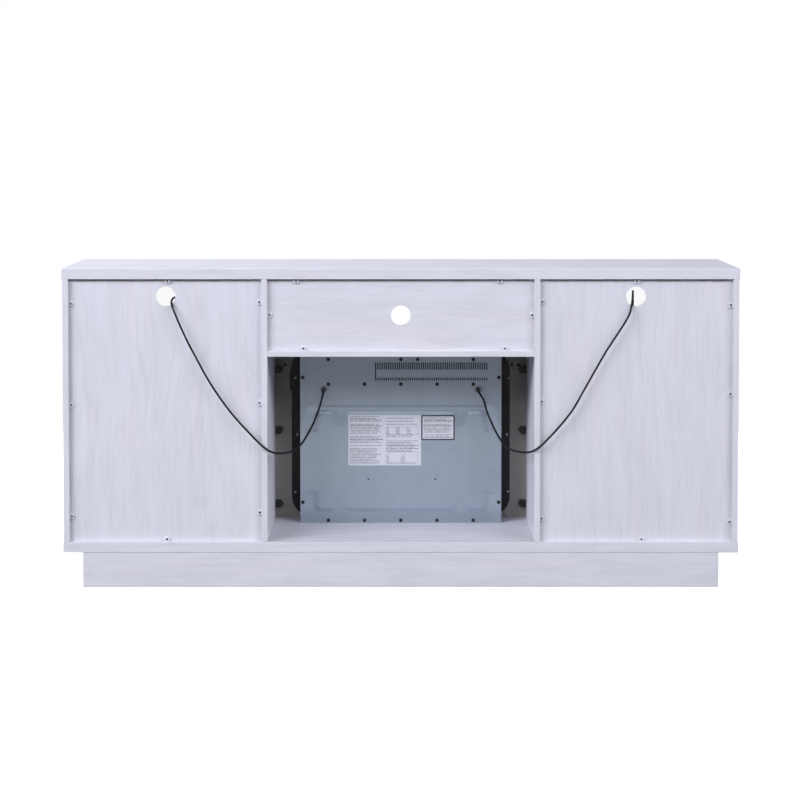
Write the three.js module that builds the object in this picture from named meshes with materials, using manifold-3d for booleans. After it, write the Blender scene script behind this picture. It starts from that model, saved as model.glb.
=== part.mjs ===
// Fireplace TV stand: a long low cabinet with a glass-door bay at each end, an open media
// compartment in the middle and an electric firebox under it, in millimetres with +Z up.
// The origin is on the floor under the middle of the cabinet. +X runs along the cabinet and
// +Y points into the room, so the open back with its cables faces -Y.
import * as THREE from "three";
import { mergeVertices } from "three/addons/utils/BufferGeometryUtils.js";
import Module from "manifold-3d";

const wasm = await Module();
wasm.setup();

// Cabinet
const standWidth = 1780;
const standDepth = 400;
const standHeight = 842;
const slabThickness = 28;
const boardThickness = 15;
const boardEase = 0.8;
const sideInset = 2;
const frontInset = 2;
const mediaWidth = 702;
const mediaHeight = 189;
const plinthHeight = 92;
const plinthEndInset = 52;
const plinthBackInset = 1;
const plinthFrontInset = 50;
const jointGap = 0.1;

// Back panels, their grooves and the cable holes
const backPanelThickness = 3;
const backRecess = 12;
const panelEngagement = 4;
const grooveEndGap = 0.5;
const grooveSideGap = 0.3;
const cableHoleRadius = 26;
const cableHoleX = 618.3;
const cableHoleDrop = 45.6;
const mediaHoleDrop = 95.6;

// Adjustable shelves and the rows of holes for their pins
const shelfTop = 455;
const shelfFrontInset = 35;
const shelfBackGap = 1;
const shelfEndGap = 0.3;
const pinHoleRadius = 2.5;
const pinHoleDepth = 9;
const pinHolePitch = 32;
const pinHolesPerRow = 3;
const pinRowInset = 60;
const pinHoleSides = 8;

// Surround board that frames the firebox, and the blocks that screw it to the dividers
const surroundFrontInset = 17;
const surroundOpeningWidth = 572;
const surroundOpeningHead = 44;
const surroundOpeningSill = 22;
const surroundOpeningRadius = 4;
const blockWidth = 21.5;
const blockHeight = 19;
const blockPoint = 6;
const blockDepth = 16;
const blockLevelShares = [0.078, 0.5, 0.847];

// Frameless glass doors on pivots, their clamps, pulls and magnet catches
const glassThickness = 5;
const doorGap = 3;
const doorSetback = 15;
const pivotInset = 12;
const pivotPinRadius = 2.5;
const pivotPinDepth = 9;
const pivotBoreGap = 0.4;
const pivotBoreDepth = 11;
const clampThickness = 12;
const clampTail = 8;
const clampLength = 46;
const clampHeight = 30;
const clampCap = 1.6;
const glassSeatGap = 0.3;
const pullLength = 90;
const pullGrip = 13;
const pullWall = 1.6;
const pullLip = 11;
const pullHeightShare = 0.55;
const catchWidth = 14;
const catchDepth = 18;
const catchHeight = 32;
const catchDrop = 14;
const catchGap = 0.4;

// Firebox case: shell, stamped rear cover and front flange
const insertWidth = 555;
const insertHeadroom = 28.2;
const insertDepth = 93;
const insertFloorGap = 0.3;
const shellSheet = 1.2;
const shellLip = 14;
const coverSheet = 1;
const reliefDepth = 8;
const reliefSlope = 6;
const reliefWidth = 512;
const reliefBottom = 22;
const reliefHead = 139.5;
const reliefRadius = 12;
const pillowMargin = 20;
const pillowRadius = 12;
const middlePillowWidth = 299;
const outerPillowWidth = 50;
const pillowPitch = 206.5;
const ribWidth = 14;
const ribRadiusShare = 1 / 3;
const ribFootMargin = 64;
const ribHeadMargin = 62;
const slotWidth = 3;
const slotPitch = 6;
const slotCount = 52;
const slotsLeft = -71;
const upperSlotDrop = 37;
const upperSlotHeight = 20;
const lowerSlotDrop = 67;
const lowerSlotHeight = 8;
const flangeSheet = 2;
const flangeWidth = 611;
const flangeBottom = 1.7;
const flangeReach = 6.2;
const flangeRadius = 55;
const flangeInnerMargin = 37;
const flangeInnerRadius = 20;
const flangeBulge = 6.5;
const flangeBulgeDrop = 106.5;
const flangeBulgeRise = 28;
const flangeBulgeRadius = 167;

// Front bezel with the glass, the warm-air louvre and the three buttons
const bezelFit = 0.5;
const bezelProud = 3;
const bezelLip = 4;
const bezelRadius = 6;
const viewWidth = 510;
const viewBottom = 46;
const viewHead = 77.5;
const viewGlassThickness = 4;
const viewGlassOverlap = 7;
const louvreLeft = -64;
const louvreWidth = 268;
const louvreDrop = 59.5;
const louvreHeight = 34;
const slatCount = 4;
const slatThickness = 1.6;
const slatDepth = 11;
const slatTilt = 0.6;
const buttonRadius = 5.5;
const buttonPitch = 19;
const buttonCollar = 2;
const buttonCollarDepth = 1.4;
const buttonProud = 2.2;
const buttonTravel = 1.5;
const buttonGap = 0.4;
const buttonMargin = 22;
const boardSheet = 1.6;
const switchWidth = 6;
const switchHeight = 4;
const pocketMargin = 11;

// Flame effect
const screenThickness = 3;
const screenSetback = 45;
const screenHead = 82;
const bedDepth = 38;
const bedHeight = 34;
const bedBump = 5;
const bedColumns = 30;
const bedRows = 5;
const bedWaves = [9, 17];
const logRadius = 11;
const logSpan = 330;
const logSides = 9;
const logRings = 9;
const logKnots = 7;
const logKnotShare = 0.12;
const logTaperShare = 0.25;
const logBowShare = 0.15;
// Each log's two ends, as shares of half the span and of the log's radius, and its girth
const logShares = [
  [-1, -0.5, 0.5, 0.98, -0.55, 0.75, 1],
  [-0.9, 0.5, 0.55, 0.85, 0.5, 0.4, 0.95],
  [-0.62, 0.6, 0.8, 0.2, -0.2, 3.1, 0.8],
  [0.7, 0.55, 0.9, -0.12, -0.3, 3.3, 0.85],
  [-0.28, -0.1, 2.1, 0.5, 0.1, 2.6, 0.72],
];
const rotorHeight = 72;
const rotorSetback = 27;
const rotorShaftRadius = 3;
const petalCount = 14;
const petalLength = 12;
const petalWidth = 22;
const petalThickness = 0.8;
const petalFillShare = 0.8;
const petalTurnShare = 3 / 7;
const rotorMotorRadius = 16;
const rotorMotorLength = 24;
const bossRadius = 8;
const bossLength = 12;
const bossGap = 0.4;

// Heater: duct, cross-flow blower, its motor and the element
const ductLeft = -68;
const ductWidth = 276;
const ductHeight = 70;
const ductSheet = 1.5;
const ductBackInset = 13;
const ductFrontInset = 2;
const wheelRadius = 22;
const wheelEndGap = 3;
const wheelSetback = 27;
const wheelDisc = 2;
const wheelShaftRadius = 3;
const bladeCount = 14;
const bladeInnerShare = 0.72;
const bladeOuterShare = 0.97;
const bladeThickness = 0.9;
const bladeLean = 0.28;
const bladeCup = 1.1;
const shaftGap = 0.5;
const blowerMotorRadius = 25;
const blowerMotorLength = 40;
const elementSetback = 52;
const elementDepth = 9;
const elementBar = 8;
const elementRodRadius = 2;
const elementRods = 5;

// Supply leads, their reliefs, coils and plugs
const leadDiameter = 5.5;
const leadSides = 8;
const leadStep = 15.4;
const meetingGap = 0.3;
const reliefX = 212.8;
const leadOutletDrop = 92.9;
const reliefCollarRadius = 8;
const reliefCollar = 2.5;
const reliefNeckRadius = 5;
const reliefNeckGap = 0.4;
const reliefRoot = 5.5;
const reliefTip = 3.9;
const reliefLength = 19.7;
const reliefTail = 6;
const leadLength = 1830;
const coilTurns = 3.5;
const coilGap = 0.5;
const coilSides = 6;
const coilSteps = 24;
const plugWidth = 26;
const plugBody = 30;
const plugTail = 16;
const plugTailRing = 1.3;
const bladeWide = 6.3;
const bladeThick = 1.5;
const bladeLong = 17;
const bladeSpacing = 12.7;

// Shared overrun of cuts, and the fineness of round shapes
const overrun = 1;
const roundSides = 24;
const smallSides = 12;
const cornerSteps = 4;

// Places worked out from the sizes
const halfWidth = standWidth / 2;
const backY = -standDepth / 2;
const frontY = standDepth / 2;
const floorTop = plinthHeight + slabThickness;
const ceiling = standHeight - slabThickness;
const sideOuter = halfWidth - sideInset;
const sideInner = sideOuter - boardThickness;
const dividerInner = mediaWidth / 2;
const dividerOuter = dividerInner + boardThickness;
const boardFront = frontY - frontInset;
const panelBack = backY + backRecess;
const panelFront = panelBack + backPanelThickness;
const grooveDepth = panelEngagement + grooveEndGap;
const mediaFloor = ceiling - mediaHeight;
const cavityTop = mediaFloor - boardThickness;
const cavityHeight = cavityTop - floorTop;
const shelfFront = frontY - shelfFrontInset;
const surroundFront = frontY - surroundFrontInset;
const surroundBack = surroundFront - boardThickness;
const sillTop = floorTop + surroundOpeningSill;
const surroundOpeningHeight = cavityTop - surroundOpeningHead - sillTop;
const pivotX = sideInner - pivotInset;
const pivotY = frontY - doorSetback - glassThickness / 2;
const insertHeight = cavityHeight - insertFloorGap - insertHeadroom;
const reliefTop = insertHeight - reliefHead;
const louvreBottom = insertHeight - louvreDrop;
const viewHeight = insertHeight - viewHead - viewBottom;
const leadOutletHeight = insertHeight - leadOutletDrop;

// Finishes
function finish(color, roughness, metalness, opacity = 1) {
  return new THREE.MeshStandardMaterial({
    color,
    roughness,
    metalness,
    opacity,
    transparent: opacity < 1,
  });
}
const laminate = finish(0xd8d9e6, 0.55, 0);
const hardboard = finish(0xdadbe8, 0.6, 0);
const blackPlastic = finish(0x17181b, 0.5, 0);
const blackSteel = finish(0x131417, 0.45, 0.4);
const galvanised = finish(0x9aa3b2, 0.4, 0.9);
const satinMetal = finish(0xa9adb3, 0.35, 0.9);
const clearGlass = finish(0xdfeaec, 0.05, 0, 0.3);
const smokedScreen = finish(0x3c3d42, 0.15, 0, 0.6);
const leadRubber = finish(0x0f1012, 0.6, 0);
const resinLog = finish(0x5a4334, 0.9, 0);
const resinEmber = finish(0x7a2c12, 0.8, 0);
const mica = finish(0xb39a6a, 0.6, 0);
const greenBoard = finish(0x1f5a37, 0.5, 0);

// A closed geometry as a solid, with its faces turned outwards.
function solidOf(geometry) {
  const bare = geometry.clone();
  bare.deleteAttribute("normal");
  bare.deleteAttribute("uv");
  const merged = mergeVertices(bare);
  const triVerts = new Uint32Array(merged.index.array);
  const vertProperties = merged.attributes.position.array;
  const solid = new wasm.Manifold(new wasm.Mesh({ numProp: 3, vertProperties, triVerts }));
  if (solid.volume() > 0) return solid;
  triVerts.reverse();
  return new wasm.Manifold(new wasm.Mesh({ numProp: 3, vertProperties, triVerts }));
}

function geometryOf(solid) {
  const mesh = solid.getMesh();
  const geometry = new THREE.BufferGeometry();
  geometry.setAttribute("position", new THREE.BufferAttribute(mesh.vertProperties, mesh.numProp));
  geometry.setIndex(new THREE.BufferAttribute(mesh.triVerts, 1));
  geometry.computeVertexNormals();
  return geometry;
}

function addPiece(parent, name, solid, material) {
  const mesh = new THREE.Mesh(geometryOf(solid), material);
  mesh.name = name;
  parent.add(mesh);
  return mesh;
}

// A box between two corners, given in any order.
function block(xa, xb, ya, yb, za, zb) {
  const geometry = new THREE.BoxGeometry(Math.abs(xb - xa), Math.abs(yb - ya), Math.abs(zb - za));
  geometry.translate((xa + xb) / 2, (ya + yb) / 2, (za + zb) / 2);
  return solidOf(geometry);
}

// A board whose twelve edges are eased by a small chamfer.
function easedBlock(xa, xb, ya, yb, za, zb) {
  const outline = new THREE.Shape();
  const low = Math.min(xa, xb) + boardEase;
  const high = Math.max(xa, xb) - boardEase;
  outline.moveTo(low, ya + boardEase);
  outline.lineTo(high, ya + boardEase);
  outline.lineTo(high, yb - boardEase);
  outline.lineTo(low, yb - boardEase);
  outline.closePath();
  const geometry = new THREE.ExtrudeGeometry(outline, {
    depth: zb - za - 2 * boardEase,
    bevelEnabled: true,
    bevelThickness: boardEase,
    bevelSize: boardEase,
    bevelSegments: 1,
  });
  geometry.translate(0, 0, za + boardEase);
  return solidOf(geometry);
}

// A round bar along X, Y or Z between two places on its axis.
function rod(axis, radius, from, to, centre, sides = roundSides) {
  const geometry = new THREE.CylinderGeometry(radius, radius, Math.abs(to - from), sides);
  const middle = new THREE.Vector3(...centre);
  if (axis === "x") geometry.rotateZ(Math.PI / 2);
  if (axis === "z") geometry.rotateX(Math.PI / 2);
  middle[axis] = (from + to) / 2;
  geometry.translate(middle.x, middle.y, middle.z);
  return solidOf(geometry);
}

function roundedOutline(left, right, bottom, top, radius) {
  const outline = new THREE.Shape();
  outline.moveTo(left + radius, bottom);
  outline.absarc(right - radius, bottom + radius, radius, -Math.PI / 2, 0, false);
  outline.absarc(right - radius, top - radius, radius, 0, Math.PI / 2, false);
  outline.absarc(left + radius, top - radius, radius, Math.PI / 2, Math.PI, false);
  outline.absarc(left + radius, bottom + radius, radius, Math.PI, 1.5 * Math.PI, false);
  return outline;
}

// Outlines drawn in X and Z, extruded along Y from near to far. A slope chamfers both ends.
function plate(outlines, near, far, slope = 0, slopeDepth = 0) {
  const geometry = new THREE.ExtrudeGeometry(outlines, {
    depth: far - near - 2 * slopeDepth,
    curveSegments: cornerSteps,
    bevelEnabled: slope > 0,
    bevelThickness: slopeDepth,
    bevelSize: slope,
    bevelSegments: 1,
  });
  geometry.rotateX(Math.PI / 2);
  geometry.translate(0, far - slopeDepth, 0);
  return solidOf(geometry);
}

// A closed skin through rings of points that all have the same number of points.
function loft(rings) {
  const sides = rings[0].length;
  const corners = rings.flat().flatMap((p) => [p.x, p.y, p.z]);
  const faces = [];
  for (let r = 0; r + 1 < rings.length; r++) {
    for (let i = 0; i < sides; i++) {
      const a = r * sides + i;
      const b = r * sides + ((i + 1) % sides);
      faces.push(a, b, a + sides, b, b + sides, a + sides);
    }
  }
  const last = (rings.length - 1) * sides;
  for (let i = 1; i + 1 < sides; i++) {
    faces.push(0, i + 1, i);
    faces.push(last, last + i, last + i + 1);
  }
  const geometry = new THREE.BufferGeometry();
  geometry.setAttribute("position", new THREE.Float32BufferAttribute(corners, 3));
  geometry.setIndex(faces);
  return solidOf(geometry);
}

// An ellipse of points about a centre, in the plane of two directions.
function ellipse(centre, across, up, halfAcross, halfUp, sides) {
  return Array.from({ length: sides }, (_, i) => {
    const angle = ((i + 0.5) / sides) * 2 * Math.PI;
    return centre
      .clone()
      .addScaledVector(across, halfAcross * Math.cos(angle))
      .addScaledVector(up, halfUp * Math.sin(angle));
  });
}

const stand = new THREE.Group();

// Cabinet boards
function groove(xa, xb, za, zb) {
  return block(xa, xb, panelBack - grooveSideGap, panelFront + grooveSideGap, za, zb);
}

function pivotBore(side, from, to) {
  return rod("z", pivotPinRadius + pivotBoreGap, from, to, [side * pivotX, pivotY, 0], smallSides);
}

function pinHoles(faceX, inward) {
  const rows = [panelFront + pinRowInset, shelfFront - pinRowInset];
  const holes = [];
  for (const y of rows) {
    for (let i = 0; i < pinHolesPerRow; i++) {
      const level = i - (pinHolesPerRow - 1) / 2;
      const z = shelfTop - boardThickness - pinHoleRadius + level * pinHolePitch;
      const from = faceX + inward * overrun;
      holes.push(rod("x", pinHoleRadius, from, faceX - inward * pinHoleDepth, [0, y, z], pinHoleSides));
    }
  }
  return wasm.Manifold.union(holes);
}

function buildSlabs() {
  const grooveEnd = sideInner + grooveDepth;
  const top = easedBlock(-halfWidth, halfWidth, backY, frontY, ceiling, standHeight)
    .subtract(groove(-grooveEnd, grooveEnd, ceiling - overrun, ceiling + grooveDepth))
    .subtract(pivotBore(-1, ceiling - overrun, ceiling + pivotBoreDepth))
    .subtract(pivotBore(1, ceiling - overrun, ceiling + pivotBoreDepth));
  addPiece(stand, "top_panel", top, laminate);
  const bottom = easedBlock(-halfWidth, halfWidth, backY, frontY, plinthHeight, floorTop)
    .subtract(groove(-grooveEnd, grooveDepth - dividerOuter, floorTop - grooveDepth, floorTop + overrun))
    .subtract(groove(dividerOuter - grooveDepth, grooveEnd, floorTop - grooveDepth, floorTop + overrun))
    .subtract(pivotBore(-1, floorTop - pivotBoreDepth, floorTop + overrun))
    .subtract(pivotBore(1, floorTop - pivotBoreDepth, floorTop + overrun));
  addPiece(stand, "bottom_panel", bottom, laminate);
}

function buildUprights(side, word) {
  const low = floorTop + jointGap;
  const high = ceiling - jointGap;
  const sidePanel = easedBlock(side * sideOuter, side * sideInner, backY, boardFront, low, high)
    .subtract(groove(side * (sideInner - overrun), side * (sideInner + grooveDepth), low - overrun, high + overrun))
    .subtract(pinHoles(side * sideInner, -side));
  addPiece(stand, word + "_side_panel", sidePanel, laminate);
  const outerGroove = groove(
    side * (dividerOuter - grooveDepth),
    side * (dividerOuter + overrun),
    low - overrun,
    high + overrun,
  );
  const innerGroove = groove(
    side * (dividerInner - overrun),
    side * (dividerInner + grooveDepth),
    mediaFloor - grooveDepth,
    high + overrun,
  );
  const divider = easedBlock(side * dividerInner, side * dividerOuter, backY, boardFront, low, high)
    .subtract(outerGroove)
    .subtract(innerGroove)
    .subtract(pinHoles(side * dividerOuter, side));
  addPiece(stand, word + "_divider", divider, laminate);
}

function backPanel(xa, xb, za, zb, holeX, holeDrop) {
  const sheet = block(xa, xb, panelBack, panelFront, za - panelEngagement, zb + panelEngagement);
  const centre = [holeX, 0, zb - holeDrop];
  return sheet.subtract(rod("y", cableHoleRadius, panelBack - overrun, panelFront + overrun, centre));
}

function buildBayPieces(side, word) {
  const panel = backPanel(
    side * (sideInner + panelEngagement),
    side * (dividerOuter - panelEngagement),
    floorTop,
    ceiling,
    side * cableHoleX,
    cableHoleDrop,
  );
  addPiece(stand, word + "_back_panel", panel, hardboard);
  const shelf = easedBlock(
    side * (sideInner - shelfEndGap),
    side * (dividerOuter + shelfEndGap),
    panelFront + shelfBackGap,
    shelfFront,
    shelfTop - boardThickness,
    shelfTop,
  );
  addPiece(stand, word + "_shelf", shelf, laminate);
}

function buildMediaCompartment() {
  const reach = dividerInner - jointGap;
  const shelf = easedBlock(-reach, reach, backY, boardFront, cavityTop, mediaFloor).subtract(
    groove(-reach - overrun, reach + overrun, mediaFloor - grooveDepth, mediaFloor + overrun),
  );
  addPiece(stand, "media_shelf", shelf, laminate);
  const edge = dividerInner + panelEngagement;
  addPiece(stand, "media_back_panel", backPanel(-edge, edge, mediaFloor, ceiling, 0, mediaHoleDrop), hardboard);
}

function buildPlinth() {
  const end = halfWidth - plinthEndInset;
  const back = backY + plinthBackInset;
  const front = frontY - plinthFrontInset;
  const top = plinthHeight - jointGap;
  const ribBack = back + boardThickness + jointGap;
  const ribFront = front - boardThickness - jointGap;
  const half = boardThickness / 2;
  addPiece(stand, "plinth_back_rail", easedBlock(-end, end, back, back + boardThickness, 0, top), laminate);
  addPiece(stand, "plinth_front_rail", easedBlock(-end, end, front - boardThickness, front, 0, top), laminate);
  addPiece(stand, "plinth_left_end", easedBlock(-end, boardThickness - end, ribBack, ribFront, 0, top), laminate);
  addPiece(stand, "plinth_right_end", easedBlock(end - boardThickness, end, ribBack, ribFront, 0, top), laminate);
  addPiece(stand, "plinth_centre_rib", easedBlock(-half, half, ribBack, ribFront, 0, top), laminate);
}

// Surround board and the pointed plastic blocks that hold it to the dividers
function buildSurround() {
  const reach = dividerInner - jointGap;
  const opening = roundedOutline(
    -surroundOpeningWidth / 2,
    surroundOpeningWidth / 2,
    sillTop,
    sillTop + surroundOpeningHeight,
    surroundOpeningRadius,
  );
  const board = easedBlock(-reach, reach, surroundBack, surroundFront, floorTop + jointGap, cavityTop - jointGap);
  addPiece(
    stand,
    "surround_board",
    board.subtract(plate(opening, surroundBack - overrun, surroundFront + overrun)),
    laminate,
  );
  const levels = ["lower", "middle", "upper"];
  for (const [side, word] of [[-1, "left"], [1, "right"]]) {
    blockLevelShares.forEach((share, i) => {
      const z = floorTop + share * cavityHeight;
      const outline = new THREE.Shape();
      const root = side * reach;
      const shoulder = side * (reach - blockWidth + blockPoint);
      outline.moveTo(root, z - blockHeight / 2);
      outline.lineTo(root, z + blockHeight / 2);
      outline.lineTo(shoulder, z + blockHeight / 2);
      outline.lineTo(side * (reach - blockWidth), z);
      outline.lineTo(shoulder, z - blockHeight / 2);
      outline.closePath();
      const piece = plate(outline, surroundBack - jointGap - blockDepth, surroundBack - jointGap);
      addPiece(stand, word + "_" + levels[i] + "_corner_block", piece, blackPlastic);
    });
  }
}

// Doors: each hangs in a group whose origin is on its pivot axis at floor level
function buildDoor(side, word) {
  const door = new THREE.Group();
  door.position.set(side * pivotX, pivotY, 0);
  stand.add(door);
  const inward = -side;
  const paneWidth = sideInner - dividerOuter - 2 * doorGap;
  const hingeEdge = -inward * (pivotInset - doorGap);
  const freeEdge = hingeEdge + inward * paneWidth;
  const paneBottom = floorTop + doorGap;
  const paneTop = ceiling - doorGap;
  const half = glassThickness / 2;
  const seat = half + glassSeatGap;
  addPiece(door, word + "_door_glass", block(hingeEdge, freeEdge, -half, half, paneBottom, paneTop), clearGlass);

  for (const [up, level, paneEnd, slab] of [
    [1, "upper", paneTop, ceiling],
    [-1, "lower", paneBottom, floorTop],
  ]) {
    const capInside = paneEnd + up * glassSeatGap;
    const capOutside = Math.abs(slab - capInside) > clampCap ? capInside + up * clampCap : slab - up * jointGap;
    const cheeks = block(
      -inward * clampTail,
      inward * clampLength,
      -clampThickness / 2,
      clampThickness / 2,
      paneEnd - up * clampHeight,
      capOutside,
    );
    const glassSlot = block(
      -inward * (clampTail + overrun),
      inward * (clampLength + overrun),
      -seat,
      seat,
      paneEnd - up * (clampHeight + overrun),
      capInside,
    );
    const pin = rod("z", pivotPinRadius, capInside, slab + up * pivotPinDepth, [0, 0, 0], smallSides);
    addPiece(door, word + "_door_" + level + "_clamp", cheeks.subtract(glassSlot).add(pin), satinMetal);
  }

  const middle = paneBottom + pullHeightShare * (paneTop - paneBottom);
  const wrap = seat + pullWall;
  const pull = block(
    freeEdge - inward * pullGrip,
    freeEdge + inward * (glassSeatGap + pullWall),
    -wrap,
    wrap,
    middle - pullLength / 2,
    middle + pullLength / 2,
  )
    .add(
      block(
        freeEdge - inward * pullGrip,
        freeEdge - inward * (pullGrip - pullWall),
        seat,
        seat + pullLip,
        middle - pullLength / 2,
        middle + pullLength / 2,
      ),
    )
    .subtract(
      block(
        freeEdge - inward * (pullGrip + overrun),
        freeEdge + inward * glassSeatGap,
        -seat,
        seat,
        middle - pullLength / 2 - overrun,
        middle + pullLength / 2 + overrun,
      ),
    );
  addPiece(door, word + "_door_pull", pull, satinMetal);

  const catchFront = pivotY - half - catchGap;
  const catchTop = ceiling - catchDrop;
  const keeper = block(
    side * (dividerOuter + jointGap),
    side * (dividerOuter + jointGap + catchWidth),
    catchFront - catchDepth,
    catchFront,
    catchTop - catchHeight,
    catchTop,
  );
  addPiece(stand, word + "_magnet_catch", keeper, blackPlastic);
}

// Firebox: its group's origin is on the cover's rear face, at the middle of the case's foot
const flangeNear = insertDepth + jointGap;
const flangeFar = flangeNear + flangeSheet;
const bezelNear = flangeFar + jointGap;
const insertY = surroundBack - jointGap - flangeFar;
const insertZ = floorTop + insertFloorGap;
const bezelFar = surroundFront - insertY + bezelProud;
const caseHalf = insertWidth / 2;
const caseInside = caseHalf - shellSheet;
const shellNear = coverSheet + jointGap;
const firebox = new THREE.Group();
firebox.position.set(0, insertY, insertZ);
stand.add(firebox);

function buildCover() {
  const depth = reliefDepth + 2 * coverSheet;
  const pillowBottom = reliefBottom + pillowMargin;
  const pillowTop = reliefTop - pillowMargin;
  const ribBottom = reliefBottom + ribFootMargin;
  const ribTop = reliefTop - ribHeadMargin;
  const upperSlotBottom = insertHeight - upperSlotDrop;
  const lowerSlotBottom = insertHeight - lowerSlotDrop;
  const field = roundedOutline(
    -reliefWidth / 2 + reliefSlope,
    reliefWidth / 2 - reliefSlope,
    reliefBottom + reliefSlope,
    reliefTop - reliefSlope,
    reliefRadius,
  );
  const recess = plate(field, reliefDepth - 2 * depth, reliefDepth, reliefSlope, reliefDepth);
  const raised = [
    [-pillowPitch, outerPillowWidth, pillowBottom, pillowTop, pillowRadius],
    [0, middlePillowWidth, pillowBottom, pillowTop, pillowRadius],
    [pillowPitch, outerPillowWidth, pillowBottom, pillowTop, pillowRadius],
    [-(reliefWidth - ribWidth) / 2, ribWidth, ribBottom, ribTop, ribWidth * ribRadiusShare],
    [(reliefWidth - ribWidth) / 2, ribWidth, ribBottom, ribTop, ribWidth * ribRadiusShare],
  ];
  let relief = block(-caseHalf, caseHalf, 0, depth, 0, insertHeight).subtract(recess);
  for (const [x, width, bottom, top, radius] of raised) {
    const outline = roundedOutline(x - width / 2, x + width / 2, bottom, top, radius);
    relief = relief.add(plate(outline, 0, depth + reliefDepth, reliefSlope, reliefDepth));
  }
  relief = relief.intersect(block(-caseHalf, caseHalf, 0, depth, 0, insertHeight));
  const sheet = relief.subtract(relief.translate([0, coverSheet, 0]));

  const slots = [];
  for (let i = 0; i < slotCount; i++) {
    const left = slotsLeft + i * slotPitch;
    const right = left + slotWidth;
    // The first slot runs through both rows.
    if (i === 0) {
      slots.push(roundedOutline(left, right, lowerSlotBottom, upperSlotBottom + upperSlotHeight, 0));
      continue;
    }
    slots.push(roundedOutline(left, right, upperSlotBottom, upperSlotBottom + upperSlotHeight, 0));
    slots.push(roundedOutline(left, right, lowerSlotBottom, lowerSlotBottom + lowerSlotHeight, 0));
  }
  const reliefHoles = [-1, 1].map((side) => {
    const centre = [side * reliefX, 0, leadOutletHeight];
    return rod("y", reliefNeckRadius + reliefNeckGap, -overrun, coverSheet + overrun, centre, smallSides);
  });
  const cuts = plate(slots, -overrun, coverSheet + overrun);
  addPiece(firebox, "back_cover", sheet.subtract(cuts).subtract(reliefHoles[0]).subtract(reliefHoles[1]), galvanised);
}

function buildShell() {
  const rotorCentre = [0, rotorSetback, rotorHeight];
  const tube = block(-caseHalf, caseHalf, shellNear, insertDepth, 0, insertHeight).subtract(
    block(-caseInside, caseInside, shellNear + shellSheet, insertDepth + overrun, shellSheet, insertHeight - shellSheet),
  );
  const rearOpening = block(
    -caseHalf + shellLip,
    caseHalf - shellLip,
    shellNear - overrun,
    shellNear + shellSheet + overrun,
    shellLip,
    insertHeight - shellLip,
  );
  const boss = rod("x", bossRadius, caseInside - bossLength, caseInside + shellSheet / 2, rotorCentre);
  const bossBore = rod(
    "x",
    rotorShaftRadius + bossGap,
    caseInside - bossLength - overrun,
    caseInside - shellSheet,
    rotorCentre,
    smallSides,
  );
  addPiece(firebox, "firebox_shell", tube.subtract(rearOpening).add(boss).subtract(bossBore), galvanised);
}

function buildFlange() {
  const half = flangeWidth / 2;
  const top = insertHeight + flangeReach;
  const outer = roundedOutline(-half, half, flangeBottom, top, flangeRadius);
  const inner = roundedOutline(
    -half + flangeInnerMargin,
    half - flangeInnerMargin,
    flangeBottom + flangeInnerMargin / 2,
    top - flangeInnerMargin / 2,
    flangeInnerRadius,
  );
  // The left edge bows out from a step up to the top edge.
  const bulge = new THREE.Shape();
  const foot = insertHeight - flangeBulgeDrop;
  const widest = foot + flangeBulgeRise;
  const up = Math.asin((top - widest) / flangeBulgeRadius);
  const down = Math.asin(flangeBulgeRise / flangeBulgeRadius);
  const arcCentre = flangeBulgeRadius - half - flangeBulge;
  bulge.moveTo(-half + flangeInnerMargin / 2, top);
  bulge.absarc(arcCentre, widest, flangeBulgeRadius, Math.PI - up, Math.PI + down, false);
  bulge.lineTo(-half + flangeInnerMargin / 2, foot);
  bulge.closePath();
  const sheet = plate(outer, flangeNear, flangeFar)
    .add(plate(bulge, flangeNear, flangeFar))
    .subtract(plate(inner, flangeNear - overrun, flangeFar + overrun));
  addPiece(firebox, "front_flange", sheet, blackSteel);
}

const bezelHalf = surroundOpeningWidth / 2 - bezelFit;
const bezelBottom = sillTop - insertZ + bezelFit;
const bezelTop = sillTop + surroundOpeningHeight - insertZ - bezelFit;
const lipNear = bezelFar - bezelLip;
const louvreRight = louvreLeft + louvreWidth;
const buttonZ = louvreBottom + louvreHeight / 2;
const buttonMiddleX = louvreRight + buttonMargin + buttonPitch;
const pocketLeft = buttonMiddleX - buttonPitch - pocketMargin;
const pocketRight = buttonMiddleX + buttonPitch + pocketMargin;
const collarFar = lipNear - meetingGap;
const collarNear = collarFar - buttonCollarDepth;
const switchFar = collarNear - buttonTravel - meetingGap;

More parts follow.
